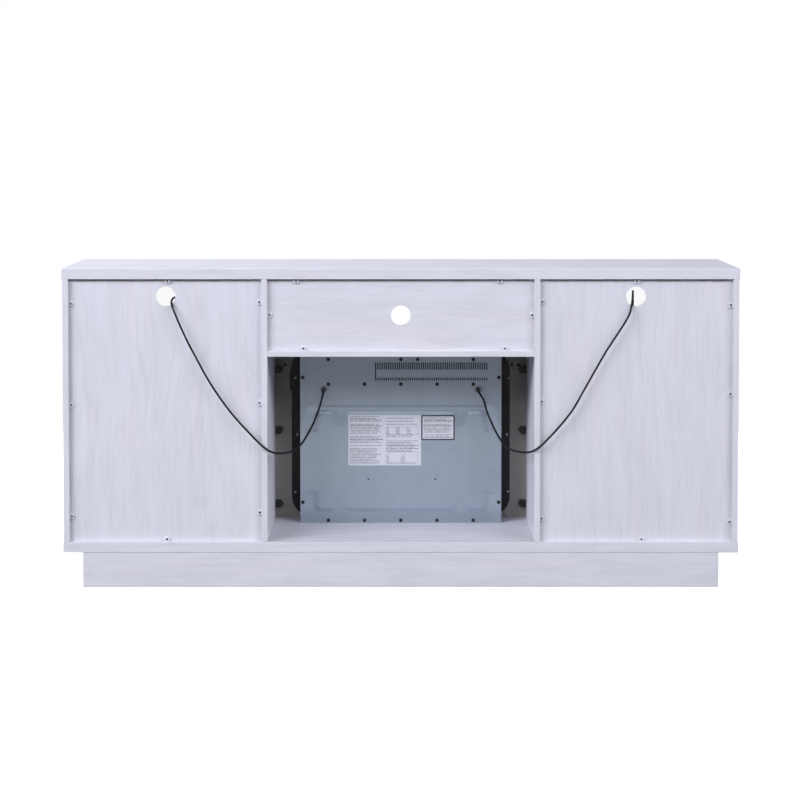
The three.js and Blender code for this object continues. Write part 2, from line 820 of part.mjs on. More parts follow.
function buildBezel() {
  const viewHalf = viewWidth / 2;
  const glassHalf = viewHalf + viewGlassOverlap;
  const glassBottom = viewBottom - viewGlassOverlap;
  const glassTop = viewBottom + viewHeight + viewGlassOverlap;
  const glassSeat = 2 * meetingGap;
  let frameSolid = plate(
    roundedOutline(-bezelHalf, bezelHalf, bezelBottom, bezelTop, bezelRadius),
    bezelNear,
    bezelFar,
  )
    .subtract(block(-viewHalf, viewHalf, bezelNear - overrun, bezelFar + overrun, viewBottom, viewBottom + viewHeight))
    .subtract(
      block(
        -glassHalf - meetingGap,
        glassHalf + meetingGap,
        bezelNear - overrun,
        lipNear,
        glassBottom - meetingGap,
        glassTop + meetingGap,
      ),
    )
    .subtract(
      block(
        louvreLeft,
        louvreRight,
        bezelNear - overrun,
        bezelFar + overrun,
        louvreBottom,
        louvreBottom + louvreHeight,
      ),
    )
    .subtract(
      block(pocketLeft, pocketRight, bezelNear - overrun, lipNear, louvreBottom, louvreBottom + louvreHeight),
    );
  const slatPitch = louvreHeight / (slatCount + 1);
  for (let i = 1; i <= slatCount; i++) {
    const slat = new THREE.BoxGeometry(louvreWidth + 2 * slatThickness, slatDepth, slatThickness);
    slat.rotateX(-slatTilt);
    slat.translate(louvreLeft + louvreWidth / 2, bezelFar - slatDepth / 2, louvreBottom + i * slatPitch);
    frameSolid = frameSolid.add(solidOf(slat));
  }
  for (const step of [-1, 0, 1]) {
    const centre = [buttonMiddleX + step * buttonPitch, 0, buttonZ];
    frameSolid = frameSolid.subtract(
      rod("y", buttonRadius + buttonGap, lipNear - overrun, bezelFar + overrun, centre, roundSides),
    );
  }
  addPiece(firebox, "bezel", frameSolid, blackPlastic);
  const glass = block(
    -glassHalf,
    glassHalf,
    lipNear - glassSeat - viewGlassThickness,
    lipNear - glassSeat,
    glassBottom,
    glassTop,
  );
  addPiece(firebox, "viewing_glass", glass, clearGlass);
}

function buildButtons() {
  const words = ["power", "flame", "heat"];
  [-1, 0, 1].forEach((step, i) => {
    const centre = [buttonMiddleX + step * buttonPitch, 0, buttonZ];
    const cap = rod("y", buttonRadius, collarFar - buttonCollarDepth / 2, bezelFar + buttonProud, centre, roundSides);
    const collar = rod("y", buttonRadius + buttonCollar, collarNear, collarFar, centre, roundSides);
    addPiece(firebox, words[i] + "_button", cap.add(collar), blackPlastic);
  });
  const boardFar = switchFar - switchHeight;
  let board = block(
    pocketLeft + meetingGap,
    pocketRight - meetingGap,
    boardFar - boardSheet,
    boardFar,
    louvreBottom + meetingGap,
    louvreBottom + louvreHeight - meetingGap,
  );
  for (const step of [-1, 0, 1]) {
    const x = buttonMiddleX + step * buttonPitch;
    const reach = switchWidth / 2;
    board = board.add(block(x - reach, x + reach, boardFar - boardSheet / 2, switchFar, buttonZ - reach, buttonZ + reach));
  }
  addPiece(firebox, "control_board", board, greenBoard);
}

// Flame effect: screen, ember bed, logs, and the petal rotor with its motor
function buildFlameEffect() {
  const inside = caseInside - meetingGap;
  const floor = shellSheet + meetingGap;
  const screenHeight = insertHeight - screenHead - floor;
  const screenFar = screenSetback + screenThickness;
  addPiece(
    firebox,
    "flame_screen",
    block(-inside, inside, screenSetback, screenFar, floor, floor + screenHeight),
    smokedScreen,
  );

  const bedNear = screenFar + meetingGap;
  const bed = new THREE.BoxGeometry(2 * inside, bedDepth, bedHeight, bedColumns, bedRows, 1);
  bed.translate(0, bedNear + bedDepth / 2, floor + bedHeight / 2);
  const spots = bed.attributes.position;
  for (let i = 0; i < spots.count; i++) {
    if (spots.getZ(i) < floor + bedHeight / 2) continue;
    const along = (spots.getX(i) / inside) * Math.PI;
    const across = ((spots.getY(i) - bedNear) / bedDepth) * Math.PI;
    const wave = Math.sin(bedWaves[0] * along) * Math.cos(2 * across) + Math.sin(bedWaves[1] * along + 3 * across);
    const fall = 1 - Math.sin(across / 2);
    spots.setZ(i, floor + bedHeight - bedBump * Math.max(0, wave) - bedBump * fall);
  }
  addPiece(firebox, "ember_bed", solidOf(bed), resinEmber);

  const bedMiddle = bedNear + bedDepth / 2;
  const logFoot = floor + bedHeight + meetingGap;
  const half = logSpan / 2;
  const lengthwise = new THREE.Vector3(0, 1, 0);
  let pile = null;
  logShares.forEach(([xa, ya, za, xb, yb, zb, girth], which) => {
    const from = new THREE.Vector3(half * xa, bedMiddle + ya * logRadius, logFoot + za * logRadius);
    const to = new THREE.Vector3(half * xb, bedMiddle + yb * logRadius, logFoot + zb * logRadius);
    const run = to.clone().sub(from).normalize();
    const up = run.clone().cross(lengthwise).normalize();
    const side = up.clone().cross(run).normalize();
    const rings = Array.from({ length: logRings }, (_, i) => {
      const share = i / (logRings - 1);
      const centre = from.clone().lerp(to, share);
      const swell = logKnotShare * Math.sin(logKnots * share * Math.PI + which);
      const knot = 1 + swell - logTaperShare * (2 * share - 1) ** 6;
      centre.addScaledVector(up, logRadius * logBowShare * Math.sin(2 * Math.PI * share + which));
      return ellipse(centre, side, up, logRadius * girth * knot, logRadius * girth * knot, logSides);
    });
    const log = loft(rings);
    pile = pile ? pile.add(log) : log;
  });
  const span = 2 * caseHalf;
  const above = block(-span, span, -span, span, logFoot, logFoot + span);
  addPiece(firebox, "log_set", pile.intersect(above), resinLog);
}

function buildRotor() {
  const centre = [0, rotorSetback, rotorHeight];
  const motorFar = -caseInside + meetingGap + rotorMotorLength;
  const shaftFrom = motorFar + meetingGap;
  const shaftTo = caseInside - shellSheet - 2 * meetingGap;
  let rotor = rod("x", rotorShaftRadius, shaftFrom, shaftTo, centre, smallSides);
  const run = caseInside - bossLength - motorFar - 4 * meetingGap;
  const pitch = run / petalCount;
  for (let i = 0; i < petalCount; i++) {
    const petal = new THREE.BoxGeometry(Math.min(petalWidth, petalFillShare * pitch), petalThickness, petalLength);
    petal.translate(0, 0, petalLength / 2 + rotorShaftRadius / 2);
    petal.rotateX(i * petalTurnShare * 2 * Math.PI);
    petal.translate(motorFar + 2 * meetingGap + (i + 0.5) * pitch, rotorSetback, rotorHeight);
    rotor = rotor.add(solidOf(petal));
  }
  addPiece(firebox, "flame_rotor", rotor, satinMetal);
  const motor = rod("x", rotorMotorRadius, -caseInside + meetingGap, motorFar, centre);
  addPiece(firebox, "rotor_motor", motor, satinMetal);
}

// Heater: duct, cross-flow wheel, motor and element
const ductRight = ductLeft + ductWidth;
const ductTop = insertHeight - shellSheet - meetingGap;
const ductBottom = ductTop - ductHeight;
const wheelZ = (ductTop + ductBottom) / 2;
const wheelCentre = [0, ductBackInset + wheelSetback, wheelZ];

function buildHeater() {
  const ductFar = insertDepth - ductFrontInset;
  const shaftBore = rod(
    "x",
    wheelShaftRadius + shaftGap,
    ductLeft - overrun,
    ductRight + overrun,
    wheelCentre,
    smallSides,
  );
  const duct = block(ductLeft, ductRight, ductBackInset, ductFar, ductBottom, ductTop)
    .subtract(
      block(
        ductLeft + ductSheet,
        ductRight - ductSheet,
        ductBackInset - overrun,
        ductFar + overrun,
        ductBottom + ductSheet,
        ductTop - ductSheet,
      ),
    )
    .subtract(shaftBore);
  addPiece(firebox, "heater_housing", duct, galvanised);

  const motorTo = ductLeft - meetingGap;
  const motor = rod("x", blowerMotorRadius, motorTo - blowerMotorLength, motorTo, wheelCentre);
  addPiece(firebox, "blower_motor", motor, satinMetal);

  const near = ductBackInset + elementSetback;
  const left = ductLeft + ductSheet + meetingGap;
  const right = ductRight - ductSheet - meetingGap;
  const low = ductBottom + ductSheet + meetingGap;
  const high = ductTop - ductSheet - meetingGap;
  let element = block(left, left + elementBar, near, near + elementDepth, low, high).add(
    block(right - elementBar, right, near, near + elementDepth, low, high),
  );
  for (let i = 0; i < elementRods; i++) {
    const z = low + ((i + 1) / (elementRods + 1)) * (high - low);
    const centre = [0, near + elementDepth / 2, z];
    element = element.add(
      rod("x", elementRodRadius, left + elementBar / 2, right - elementBar / 2, centre, smallSides),
    );
  }
  addPiece(firebox, "heating_element", element, mica);
}

// The cross-flow wheel: cupped blades between an end disc at each end and one in the middle
function buildWheel() {
  const from = ductLeft + ductSheet + wheelEndGap;
  const to = ductRight - ductSheet - wheelEndGap;
  const inner = wheelRadius * bladeInnerShare;
  const outer = wheelRadius * bladeOuterShare;
  const blades = Array.from({ length: bladeCount }, (_, i) => {
    const spot = (radius, lean, shift) => {
      const angle = (i / bladeCount) * 2 * Math.PI + lean + shift / radius;
      return new THREE.Vector2(radius * Math.cos(angle), radius * Math.sin(angle));
    };
    const middle = (inner + outer) / 2;
    const half = bladeThickness / 2;
    return new THREE.Shape([
      spot(inner, 0, -half),
      spot(inner, 0, half),
      spot(middle, bladeLean / 2, half - bladeCup),
      spot(outer, bladeLean, half),
      spot(outer, bladeLean, -half),
      spot(middle, bladeLean / 2, -half - bladeCup),
    ]);
  });
  const set = new THREE.ExtrudeGeometry(blades, { depth: to - from - wheelDisc, bevelEnabled: false });
  set.rotateY(Math.PI / 2);
  set.translate(from + wheelDisc / 2, wheelCentre[1], wheelCentre[2]);
  const middle = (from + to) / 2;
  const shaftFrom = ductLeft - meetingGap / 2;
  const shaftTo = ductRight + 2 * meetingGap;
  const wheel = solidOf(set)
    .add(rod("x", wheelRadius, from, from + wheelDisc, wheelCentre))
    .add(rod("x", wheelRadius, middle - wheelDisc / 2, middle + wheelDisc / 2, wheelCentre))
    .add(rod("x", wheelRadius, to - wheelDisc, to, wheelCentre))
    .add(rod("x", wheelShaftRadius, shaftFrom, shaftTo, wheelCentre, smallSides));
  addPiece(firebox, "blower_wheel", wheel, blackPlastic);
}

// Supply leads. The points are the middle line of the free stretch, from the relief's tip
// to where the coil begins on the shelf.
const leadRadius = leadDiameter / 2;
const leadRest = shelfTop + meetingGap + leadRadius;
const leftLeadPoints = [
  [-212.8, 50.1, 488.9], [-212.8, 45, 488.5], [-212.9, 37.6, 486.4], [-213.7, 30, 480.9],
  [-215.6, 24.6, 472.6], [-218.5, 19.5, 460.5], [-224.3, 10.5, 441], [-235.3, -10, 413.5],
  [-250.8, -42, 384.6], [-269.2, -80, 360], [-290.6, -118, 348.6], [-314, -156, 348.6],
  [-331, -184, 353.5], [-338, -194.5, 357.3], [-345.5, -202, 361.9], [-354, -206.3, 368],
  [-362, -208, 374], [-398.7, -208, 411], [-438.8, -208, 455.5], [-472.5, -208, 500],
  [-505, -208, 550], [-532.8, -208, 601], [-559.7, -207.5, 652.2], [-580.4, -206.5, 697],
  [-592, -204, 724], [-598.6, -199, 739], [-602.2, -193, 750], [-602, -186, 758.2],
  [-598.8, -177.4, 763.2], [-594, -167.6, 763.4], [-589.6, -158.6, 758.9],
  [-587.1, -152.1, 751], [-586.1, -149.4, 742], [-586, -149, 728], [-586, -149, 690],
  [-586, -149, 600], [-586, -149, 500], [-586, -149, 483.05], [-587.9, -149, 473.5],
  [-593.3, -149, 465.4], [-601.4, -149, 460], [-611, -149, 458.05], [-618, -149, 458.05],
];
const rightLeadPoints = [
  [212.8, 50.1, 488.9], [212.9, 45, 488.6], [213.9, 37.6, 486.9], [216.6, 30.6, 482.8],
  [221, 25.4, 476.6], [225.6, 21.8, 469.5], [229.3, 17.6, 460], [232.9, 11.5, 444.2],
  [245.6, -10, 411.8], [260.8, -38, 382.5], [277.1, -71, 360.5], [295.3, -106, 350.4],
  [314, -143, 350.4], [326, -166, 352.8], [333, -180.5, 355], [338.5, -191.5, 357],
  [344.5, -199.5, 360], [352, -205, 364.5], [360, -207.6, 369.6], [369, -208, 377],
  [393.7, -208, 402], [426.5, -208, 439], [452.8, -208, 474], [477.7, -208, 518],
  [508, -208, 572], [537, -208, 623], [567.4, -207.5, 670], [590, -205.5, 705],
  [601, -201.5, 726], [606, -194, 744], [609.3, -183, 759.5], [612, -168, 773],
  [613, -159.9, 777.9], [614, -151.4, 779.4], [615.3, -140.9, 777.1], [616.3, -132.3, 770.5],
  [616.9, -127.6, 760.9], [617.1, -126, 750], [617.2, -125.5, 738], [617.2, -125.5, 690],
  [617.2, -125.5, 600], [617.2, -125.5, 500], [617.2, -125.5, 483.05], [619.1, -125.5, 473.5],
  [624.5, -125.5, 465.4], [632.6, -125.5, 460], [642.2, -125.5, 458.05], [649.2, -125.5, 458.05],
];

function curveThrough(points) {
  return new THREE.CatmullRomCurve3(points.map((p) => new THREE.Vector3(...p)), false, "centripetal");
}

function buildFreeLead(points, name) {
  const curve = curveThrough(points);
  const section = new THREE.Shape(
    Array.from({ length: leadSides }, (_, i) => {
      const angle = ((i + 0.5) / leadSides) * 2 * Math.PI;
      return new THREE.Vector2(leadRadius * Math.cos(angle), leadRadius * Math.sin(angle));
    }),
  );
  const steps = Math.round(curve.getLength() / leadStep);
  const geometry = new THREE.ExtrudeGeometry(section, { steps, extrudePath: curve, bevelEnabled: false });
  addPiece(stand, name, solidOf(geometry), leadRubber);
  return curve.getLength();
}

// The middle line of a coil in two layers: it spirals in on the shelf, climbs in the half turn
// where the spiral reverses, and spirals out on top. Both ends run straight for a diameter.
function coilLine(start, heading, length) {
  const pitch = leadDiameter + coilGap;
  const drawnIn = (coilTurns / 4) * pitch;
  const outerRadius = (length - 2 * leadDiameter) / (coilTurns * 2 * Math.PI) + drawnIn;
  const centre = new THREE.Vector3(start.x + heading * leadDiameter, start.y + outerRadius, start.z);
  const count = Math.round(coilTurns * coilSteps);
  const line = [start.clone()];
  for (let i = 0; i <= count; i++) {
    const turn = i / coilSteps;
    const fromReverse = turn - coilTurns / 2;
    const radius = outerRadius - (coilTurns / 2 - Math.abs(fromReverse)) * pitch;
    const climb = Math.min(1, Math.max(0, 0.5 + 2 * fromReverse));
    const angle = -Math.PI / 2 - turn * 2 * Math.PI;
    line.push(
      new THREE.Vector3(
        centre.x - heading * radius * Math.cos(angle),
        centre.y + radius * Math.sin(angle),
        centre.z + climb * pitch,
      ),
    );
  }
  const last = line[line.length - 1];
  line.push(new THREE.Vector3(last.x - heading * leadDiameter, last.y, last.z));
  return line;
}

// The least clear space between one stretch of a coil and another that is not its neighbour.
function leastGap(line) {
  const neighbour = coilSteps / 4;
  let least = Infinity;
  for (let i = 0; i < line.length; i++) {
    for (let j = i + neighbour; j < line.length; j++) {
      least = Math.min(least, line[i].distanceTo(line[j]) - leadDiameter);
    }
  }
  return least;
}

function buildCoil(points, heading, word, coiled) {
  const [x, y, z] = points[points.length - 1];
  const start = new THREE.Vector3(x + heading * meetingGap, y, z);
  const line = coilLine(start, heading, coiled);
  const up = new THREE.Vector3(0, 0, 1);
  const rings = line.map((centre, i) => {
    const before = line[Math.max(0, i - 1)];
    const after = line[Math.min(line.length - 1, i + 1)];
    const run = after.clone().sub(before).setZ(0).normalize();
    return ellipse(centre, run.clone().cross(up).normalize(), up, leadRadius, leadRadius, coilSides);
  });
  addPiece(stand, word + "_lead_coil", loft(rings), leadRubber);
  const length = line.slice(1).reduce((sum, p, i) => sum + p.distanceTo(line[i]), 0);
  console.log(word + " coil: least gap to itself " + leastGap(line).toFixed(2) + " mm");
  return { end: line[line.length - 1], length };
}

// A flat moulded plug with a ribbed tail and two blades, lying beside the coil.
function buildPlug(from, heading, word) {
  const run = new THREE.Vector3(-heading, 0, 0);
  const across = new THREE.Vector3(0, 1, 0);
  const up = new THREE.Vector3(0, 0, 1);
  const halfThick = from.z - shelfTop - meetingGap;
  const halfWide = plugWidth / 2;
  const tailRadius = leadRadius + plugTailRing;
  const stations = [
    [0, tailRadius, tailRadius],
    [plugTail * 0.3, tailRadius * 1.1, tailRadius * 1.1],
    [plugTail * 0.36, tailRadius * 0.95, tailRadius * 0.95],
    [plugTail * 0.65, tailRadius * 1.3, tailRadius * 1.25],
    [plugTail * 0.72, tailRadius * 1.15, tailRadius * 1.1],
    [plugTail, halfWide * 0.62, halfThick * 0.8],
    [plugTail + plugBody * 0.25, halfWide * 0.9, halfThick * 0.97],
    [plugTail + plugBody * 0.8, halfWide, halfThick],
    [plugTail + plugBody, halfWide * 0.96, halfThick * 0.94],
  ];
  const rings = stations.map(([distance, halfAcross, halfUp]) => {
    const centre = from.clone().addScaledVector(run, meetingGap + distance);
    return ellipse(centre, across, up, halfAcross, halfUp, smallSides);
  });
  let plug = loft(rings);
  const face = from.x + run.x * (meetingGap + plugTail + plugBody);
  for (const side of [-1, 1]) {
    const y = from.y + (side * bladeSpacing) / 2;
    plug = plug.add(
      block(
        face - run.x * overrun,
        face + run.x * bladeLong,
        y - bladeThick / 2,
        y + bladeThick / 2,
        from.z - bladeWide / 2,
        from.z + bladeWide / 2,
      ),
    );
  }
  addPiece(stand, word + "_plug", plug, leadRubber);
}

function buildRelief(side, word) {
  const profile = [
    [0, -reliefTail],
    [reliefNeckRadius, -reliefTail],
    [reliefNeckRadius, jointGap],
    [reliefCollarRadius, jointGap],
    [reliefCollarRadius, jointGap + reliefCollar],
    [reliefRoot, jointGap + reliefCollar],
    [reliefTip, jointGap + reliefCollar + reliefLength],
    [0, jointGap + reliefCollar + reliefLength],
  ].map(([radius, out]) => new THREE.Vector2(radius, out));
  const geometry = new THREE.LatheGeometry(profile, smallSides);
  geometry.rotateX(Math.PI);
  geometry.translate(side * reliefX, 0, leadOutletHeight);
  addPiece(firebox, word + "_strain_relief", solidOf(geometry), leadRubber);
}

function buildLead(points, side, word) {
  const free = buildFreeLead(points, word + "_lead");
  const coil = buildCoil(points, side, word, leadLength - free);
  buildPlug(coil.end, side, word);
  console.log(word + " lead: " + (free + coil.length).toFixed(0) + " mm, of which coiled " + coil.length.toFixed(0));
}

buildSlabs();
for (const [side, word] of [[-1, "left"], [1, "right"]]) {
  buildUprights(side, word);
  buildBayPieces(side, word);
  buildDoor(side, word);
}
buildMediaCompartment();
buildPlinth();
buildSurround();
buildCover();
buildShell();
buildFlange();
buildBezel();
buildButtons();
buildFlameEffect();
buildRotor();
buildHeater();
buildWheel();
buildRelief(-1, "left");
buildRelief(1, "right");
buildLead(leftLeadPoints, -1, "left");
buildLead(rightLeadPoints, 1, "right");

export default stand;
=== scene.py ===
"""The looks of the fireplace TV stand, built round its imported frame.

Everything is in metres in the frame's own axes: X along the cabinet, Y into the room and Z up.
The open back with its two leads faces -Y. Run as a script, it dresses the whole stand.
"""
import math
import random

import bmesh
import bpy
from bpy.props import FloatProperty, FloatVectorProperty, IntProperty, PointerProperty
from mathutils import Matrix, Vector, noise


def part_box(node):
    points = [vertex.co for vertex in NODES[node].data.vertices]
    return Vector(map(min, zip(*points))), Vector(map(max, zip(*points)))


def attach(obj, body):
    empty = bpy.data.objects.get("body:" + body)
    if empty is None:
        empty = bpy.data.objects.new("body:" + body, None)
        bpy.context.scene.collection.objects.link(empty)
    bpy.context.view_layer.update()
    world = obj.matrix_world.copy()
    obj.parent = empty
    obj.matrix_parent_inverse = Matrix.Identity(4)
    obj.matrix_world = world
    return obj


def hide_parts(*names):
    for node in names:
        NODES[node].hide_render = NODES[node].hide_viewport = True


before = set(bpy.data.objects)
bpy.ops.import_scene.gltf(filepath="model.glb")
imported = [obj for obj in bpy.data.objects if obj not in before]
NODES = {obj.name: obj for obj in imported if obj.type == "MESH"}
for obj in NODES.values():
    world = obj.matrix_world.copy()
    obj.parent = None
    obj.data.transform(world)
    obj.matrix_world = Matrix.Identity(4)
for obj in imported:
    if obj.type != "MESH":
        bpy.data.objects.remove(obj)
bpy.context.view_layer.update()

bl_info = {
    "name": "Fireplace TV Stand",
    "version": (1, 0, 0),
    "blender": (4, 5, 0),
    "location": "3D Viewport > Sidebar > TV Stand",
    "description": "Finishes, leads, fasteners, logs and embers of a fireplace TV stand",
    "category": "Object",
}

# Places read from the frame
COVER_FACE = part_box("back_cover")[0].y
SURROUND_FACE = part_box("surround_board")[0].y
FLANGE_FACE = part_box("front_flange")[0].y
SHELF_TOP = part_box("left_shelf")[1].z

# The middle line of each lead's free stretch, from its strain relief's tip to where it is coiled
LEFT_LEAD_POINTS = (
    (-0.2128, 0.0501, 0.4889), (-0.2128, 0.045, 0.4885), (-0.2129, 0.0376, 0.4864),
    (-0.2137, 0.03, 0.4809), (-0.2156, 0.0246, 0.4726), (-0.2185, 0.0195, 0.4605),
    (-0.2243, 0.0105, 0.441), (-0.2353, -0.01, 0.4135), (-0.2508, -0.042, 0.3846),
    (-0.2692, -0.08, 0.36), (-0.2906, -0.118, 0.3486), (-0.314, -0.156, 0.3486),
    (-0.331, -0.184, 0.3535), (-0.338, -0.1945, 0.3573), (-0.3455, -0.202, 0.3619),
    (-0.354, -0.2063, 0.368), (-0.362, -0.208, 0.374), (-0.3987, -0.208, 0.411),
    (-0.4388, -0.208, 0.4555), (-0.4725, -0.208, 0.5), (-0.505, -0.208, 0.55),
    (-0.5328, -0.208, 0.601), (-0.5597, -0.2075, 0.6522), (-0.5804, -0.2065, 0.697),
    (-0.592, -0.204, 0.724), (-0.5986, -0.199, 0.739), (-0.6022, -0.193, 0.75),
    (-0.602, -0.186, 0.7582), (-0.5988, -0.1774, 0.7632), (-0.594, -0.1676, 0.7634),
    (-0.5896, -0.1586, 0.7589), (-0.5871, -0.1521, 0.751), (-0.5861, -0.1494, 0.742),
    (-0.586, -0.149, 0.728), (-0.586, -0.149, 0.69), (-0.586, -0.149, 0.6), (-0.586, -0.149, 0.5),
    (-0.586, -0.149, 0.48305), (-0.5879, -0.149, 0.4735), (-0.5933, -0.149, 0.4654),
    (-0.6014, -0.149, 0.46), (-0.611, -0.149, 0.45805), (-0.618, -0.149, 0.45805),
)
RIGHT_LEAD_POINTS = (
    (0.2128, 0.0501, 0.4889), (0.2129, 0.045, 0.4886), (0.2139, 0.0376, 0.4869),
    (0.2166, 0.0306, 0.4828), (0.221, 0.0254, 0.4766), (0.2256, 0.0218, 0.4695),
    (0.2293, 0.0176, 0.46), (0.2329, 0.0115, 0.4442), (0.2456, -0.01, 0.4118),
    (0.2608, -0.038, 0.3825), (0.2771, -0.071, 0.3605), (0.2953, -0.106, 0.3504),
    (0.314, -0.143, 0.3504), (0.326, -0.166, 0.3528), (0.333, -0.1805, 0.355),
    (0.3385, -0.1915, 0.357), (0.3445, -0.1995, 0.36), (0.352, -0.205, 0.3645),
    (0.36, -0.2076, 0.3696), (0.369, -0.208, 0.377), (0.3937, -0.208, 0.402),
    (0.4265, -0.208, 0.439), (0.4528, -0.208, 0.474), (0.4777, -0.208, 0.518),
    (0.508, -0.208, 0.572), (0.537, -0.208, 0.623), (0.5674, -0.2075, 0.67),
    (0.59, -0.2055, 0.705), (0.601, -0.2015, 0.726), (0.606, -0.194, 0.744),
    (0.6093, -0.183, 0.7595), (0.612, -0.168, 0.773), (0.613, -0.1599, 0.7779),
    (0.614, -0.1514, 0.7794), (0.6153, -0.1409, 0.7771), (0.6163, -0.1323, 0.7705),
    (0.6169, -0.1276, 0.7609), (0.6171, -0.126, 0.75), (0.6172, -0.1255, 0.738),
    (0.6172, -0.1255, 0.69), (0.6172, -0.1255, 0.6), (0.6172, -0.1255, 0.5),
    (0.6172, -0.1255, 0.48305), (0.6191, -0.1255, 0.4735), (0.6245, -0.1255, 0.4654),
    (0.6326, -0.1255, 0.46), (0.6422, -0.1255, 0.45805), (0.6492, -0.1255, 0.45805),
)

# Where the clips hold each back panel: heights up its two sides, and places along its top and foot
PANEL_CLIPS = {
    "left_back_panel": {
        "left": (0.749, 0.482, 0.1865), "right": (0.753, 0.487, 0.197),
        "top": (-0.613,), "foot": (-0.617,),
    },
    "media_back_panel": {
        "left": (0.719,), "right": (0.719,),
        "top": (-0.275, 0.26), "foot": (-0.256, 0.274),
    },
    "right_back_panel": {
        "left": (0.754, 0.491, 0.181), "right": (0.745, 0.511, 0.172),
        "top": (0.62,), "foot": (0.635,),
    },
}
PANEL_EDGES = {
    "left_back_panel": ("left_side_panel", "left_divider", "top_panel", "bottom_panel"),
    "media_back_panel": ("left_divider", "right_divider", "top_panel", "media_shelf"),
    "right_back_panel": ("right_divider", "right_side_panel", "top_panel", "bottom_panel"),
}

# Screw places on the firebox and round it, as X and Z
COVER_SCREWS = (
    (-0.2, 0.5045), (-0.1, 0.5045), (0, 0.5045), (0.1, 0.5045), (0.2, 0.5045),
    (-0.2, 0.1268), (-0.1, 0.1268), (0, 0.1268), (0.1, 0.1268), (0.2, 0.1268),
    (-0.2, 0.573), (0, 0.573), (0.046, 0.573), (0.2, 0.573),
    (-0.2705, 0.523), (0.2705, 0.523), (-0.2705, 0.177), (0.2705, 0.177),
)
COVER_RIVETS = ((-0.0896, 0.2408), (0.0956, 0.2408))
FLANGE_SCREWS = (
    (-0.2949, 0.5113), (-0.2904, 0.3519), (-0.296, 0.1895),
    (0.3013, 0.5113), (0.2969, 0.3519), (0.3005, 0.1909),
)
SURROUND_SCREWS = ((-0.3241, 0.5483), (0.3112, 0.5472), (0.3292, 0.5466))
FOOT_SCREWS = ((0.2918, 0.1283),)


def length_setting(name, description, default, least=0.001):
    return FloatProperty(
        name=name, description=description, unit="LENGTH", min=least, default=default
    )


def colour_setting(name, description, default):
    return FloatVectorProperty(
        name=name, description=description, subtype="COLOR", size=3, min=0, max=1, default=default
    )


def count_setting(name, description, default, least):
    return IntProperty(name=name, description=description, min=least, default=default)


class StandBoards(bpy.types.PropertyGroup):
    """The printed wood finish of the boards."""

    pale: colour_setting("Pale wood", "Colour of the light grain", (0.66, 0.663, 0.71))
    shade: colour_setting("Shaded wood", "Colour of the darker grain", (0.47, 0.472, 0.505))
    blush: colour_setting("Warm wood", "Colour of the warmer streaks", (0.66, 0.64, 0.675))
    roughness: FloatProperty(
        name="Roughness", description="Dullness of the laminate", min=0, max=1, default=0.5
    )
    grain_depth: length_setting("Grain depth", "Depth of the pressed grain", 0.0002, 0)


class StandCover(bpy.types.PropertyGroup):
    """The firebox's pressed back cover."""

    press_depth: length_setting(
        "Press depth", "How far the sunk field lies behind the cover's face", 0.0028, 0
    )
    level_slope: length_setting(
        "Level slopes", "Width of the slopes along the pressings' heads and feet", 0.011, 0.002
    )
    upright_slope: length_setting(
        "Upright slopes", "Width of the slopes up the pressings' sides", 0.022, 0.002
    )
    sheet: length_setting("Sheet", "Thickness of the cover's steel", 0.0008, 0.0002)


class StandLeads(bpy.types.PropertyGroup):
    """The two supply leads."""

    length: length_setting("Length", "Length of each lead", 1.83, 1.3)
    diameter: length_setting("Diameter", "Diameter of the jacket", 0.0055, 0.003)
    coil_gap: length_setting("Coil gap", "Space between turns of the coil", 0.0005, 0)
    coil_turns: FloatProperty(
        name="Coil turns", description="Turns put away on the shelf", min=1, default=3.5
    )
    coil_steps: count_setting("Coil steps", "Points in each turn", 48, 12)
    sides: count_setting("Sides", "Points round the jacket", 16, 8)


class StandFasteners(bpy.types.PropertyGroup):
    """Clips, screws and shelf pins."""

    clip_width: length_setting("Clip width", "Along the board that holds it", 0.014, 0.004)
    clip_reach: length_setting("Clip reach", "From the board's face inwards", 0.0115, 0.004)
    clip_height: length_setting("Clip height", "How far a clip stands off its panel", 0.0048)
    clip_screw: length_setting("Clip screw", "Radius of the clip's screw head", 0.0024)
    cover_screw: length_setting("Cover screw", "Radius of the cover's screw heads", 0.005)
    flange_screw: length_setting("Flange screw", "Radius of the flange's screw heads", 0.0036)
    pin_radius: length_setting("Shelf pin", "Radius of the shelf pins", 0.0024)


class StandFire(bpy.types.PropertyGroup):
    """The moulded logs and embers."""

    log_sides: count_setting("Log sides", "Points round a log", 48, 16)
    log_rings: count_setting("Log rings", "Points along a log", 96, 24)
    bark_depth: length_setting("Bark depth", "Depth of the bark's furrows", 0.0016, 0)
    ember_count: count_setting("Embers", "Loose embers on the bed", 300, 0)
    ember_size: length_setting("Ember size", "Radius of a middling ember", 0.0055)


class StandStage(bpy.types.PropertyGroup):
    """The camera, lamps and floor that show the stand."""

    eye_height: length_setting("Eye height", "Height of the camera", 1.2152)
    eye_distance: length_setting(
        "Eye distance", "From the camera to the cabinet's middle", 5.6965
    )
    tilt: FloatProperty(
        name="Tilt", description="How far the camera looks down", subtype="ANGLE",
        default=math.radians(2.338),
    )
    lens: FloatProperty(name="Lens", description="Focal length in millimetres", default=94.546)
    shift: FloatProperty(
        name="Shift", description="Vertical shift of the lens, in picture widths", default=-0.235
    )
    backdrop: colour_setting("Backdrop", "Colour seen behind the stand", (1, 1, 1))


SETTINGS = {
    "stand_boards": StandBoards,
    "stand_cover": StandCover,
    "stand_leads": StandLeads,
    "stand_fasteners": StandFasteners,
    "stand_fire": StandFire,
    "stand_stage": StandStage,
}


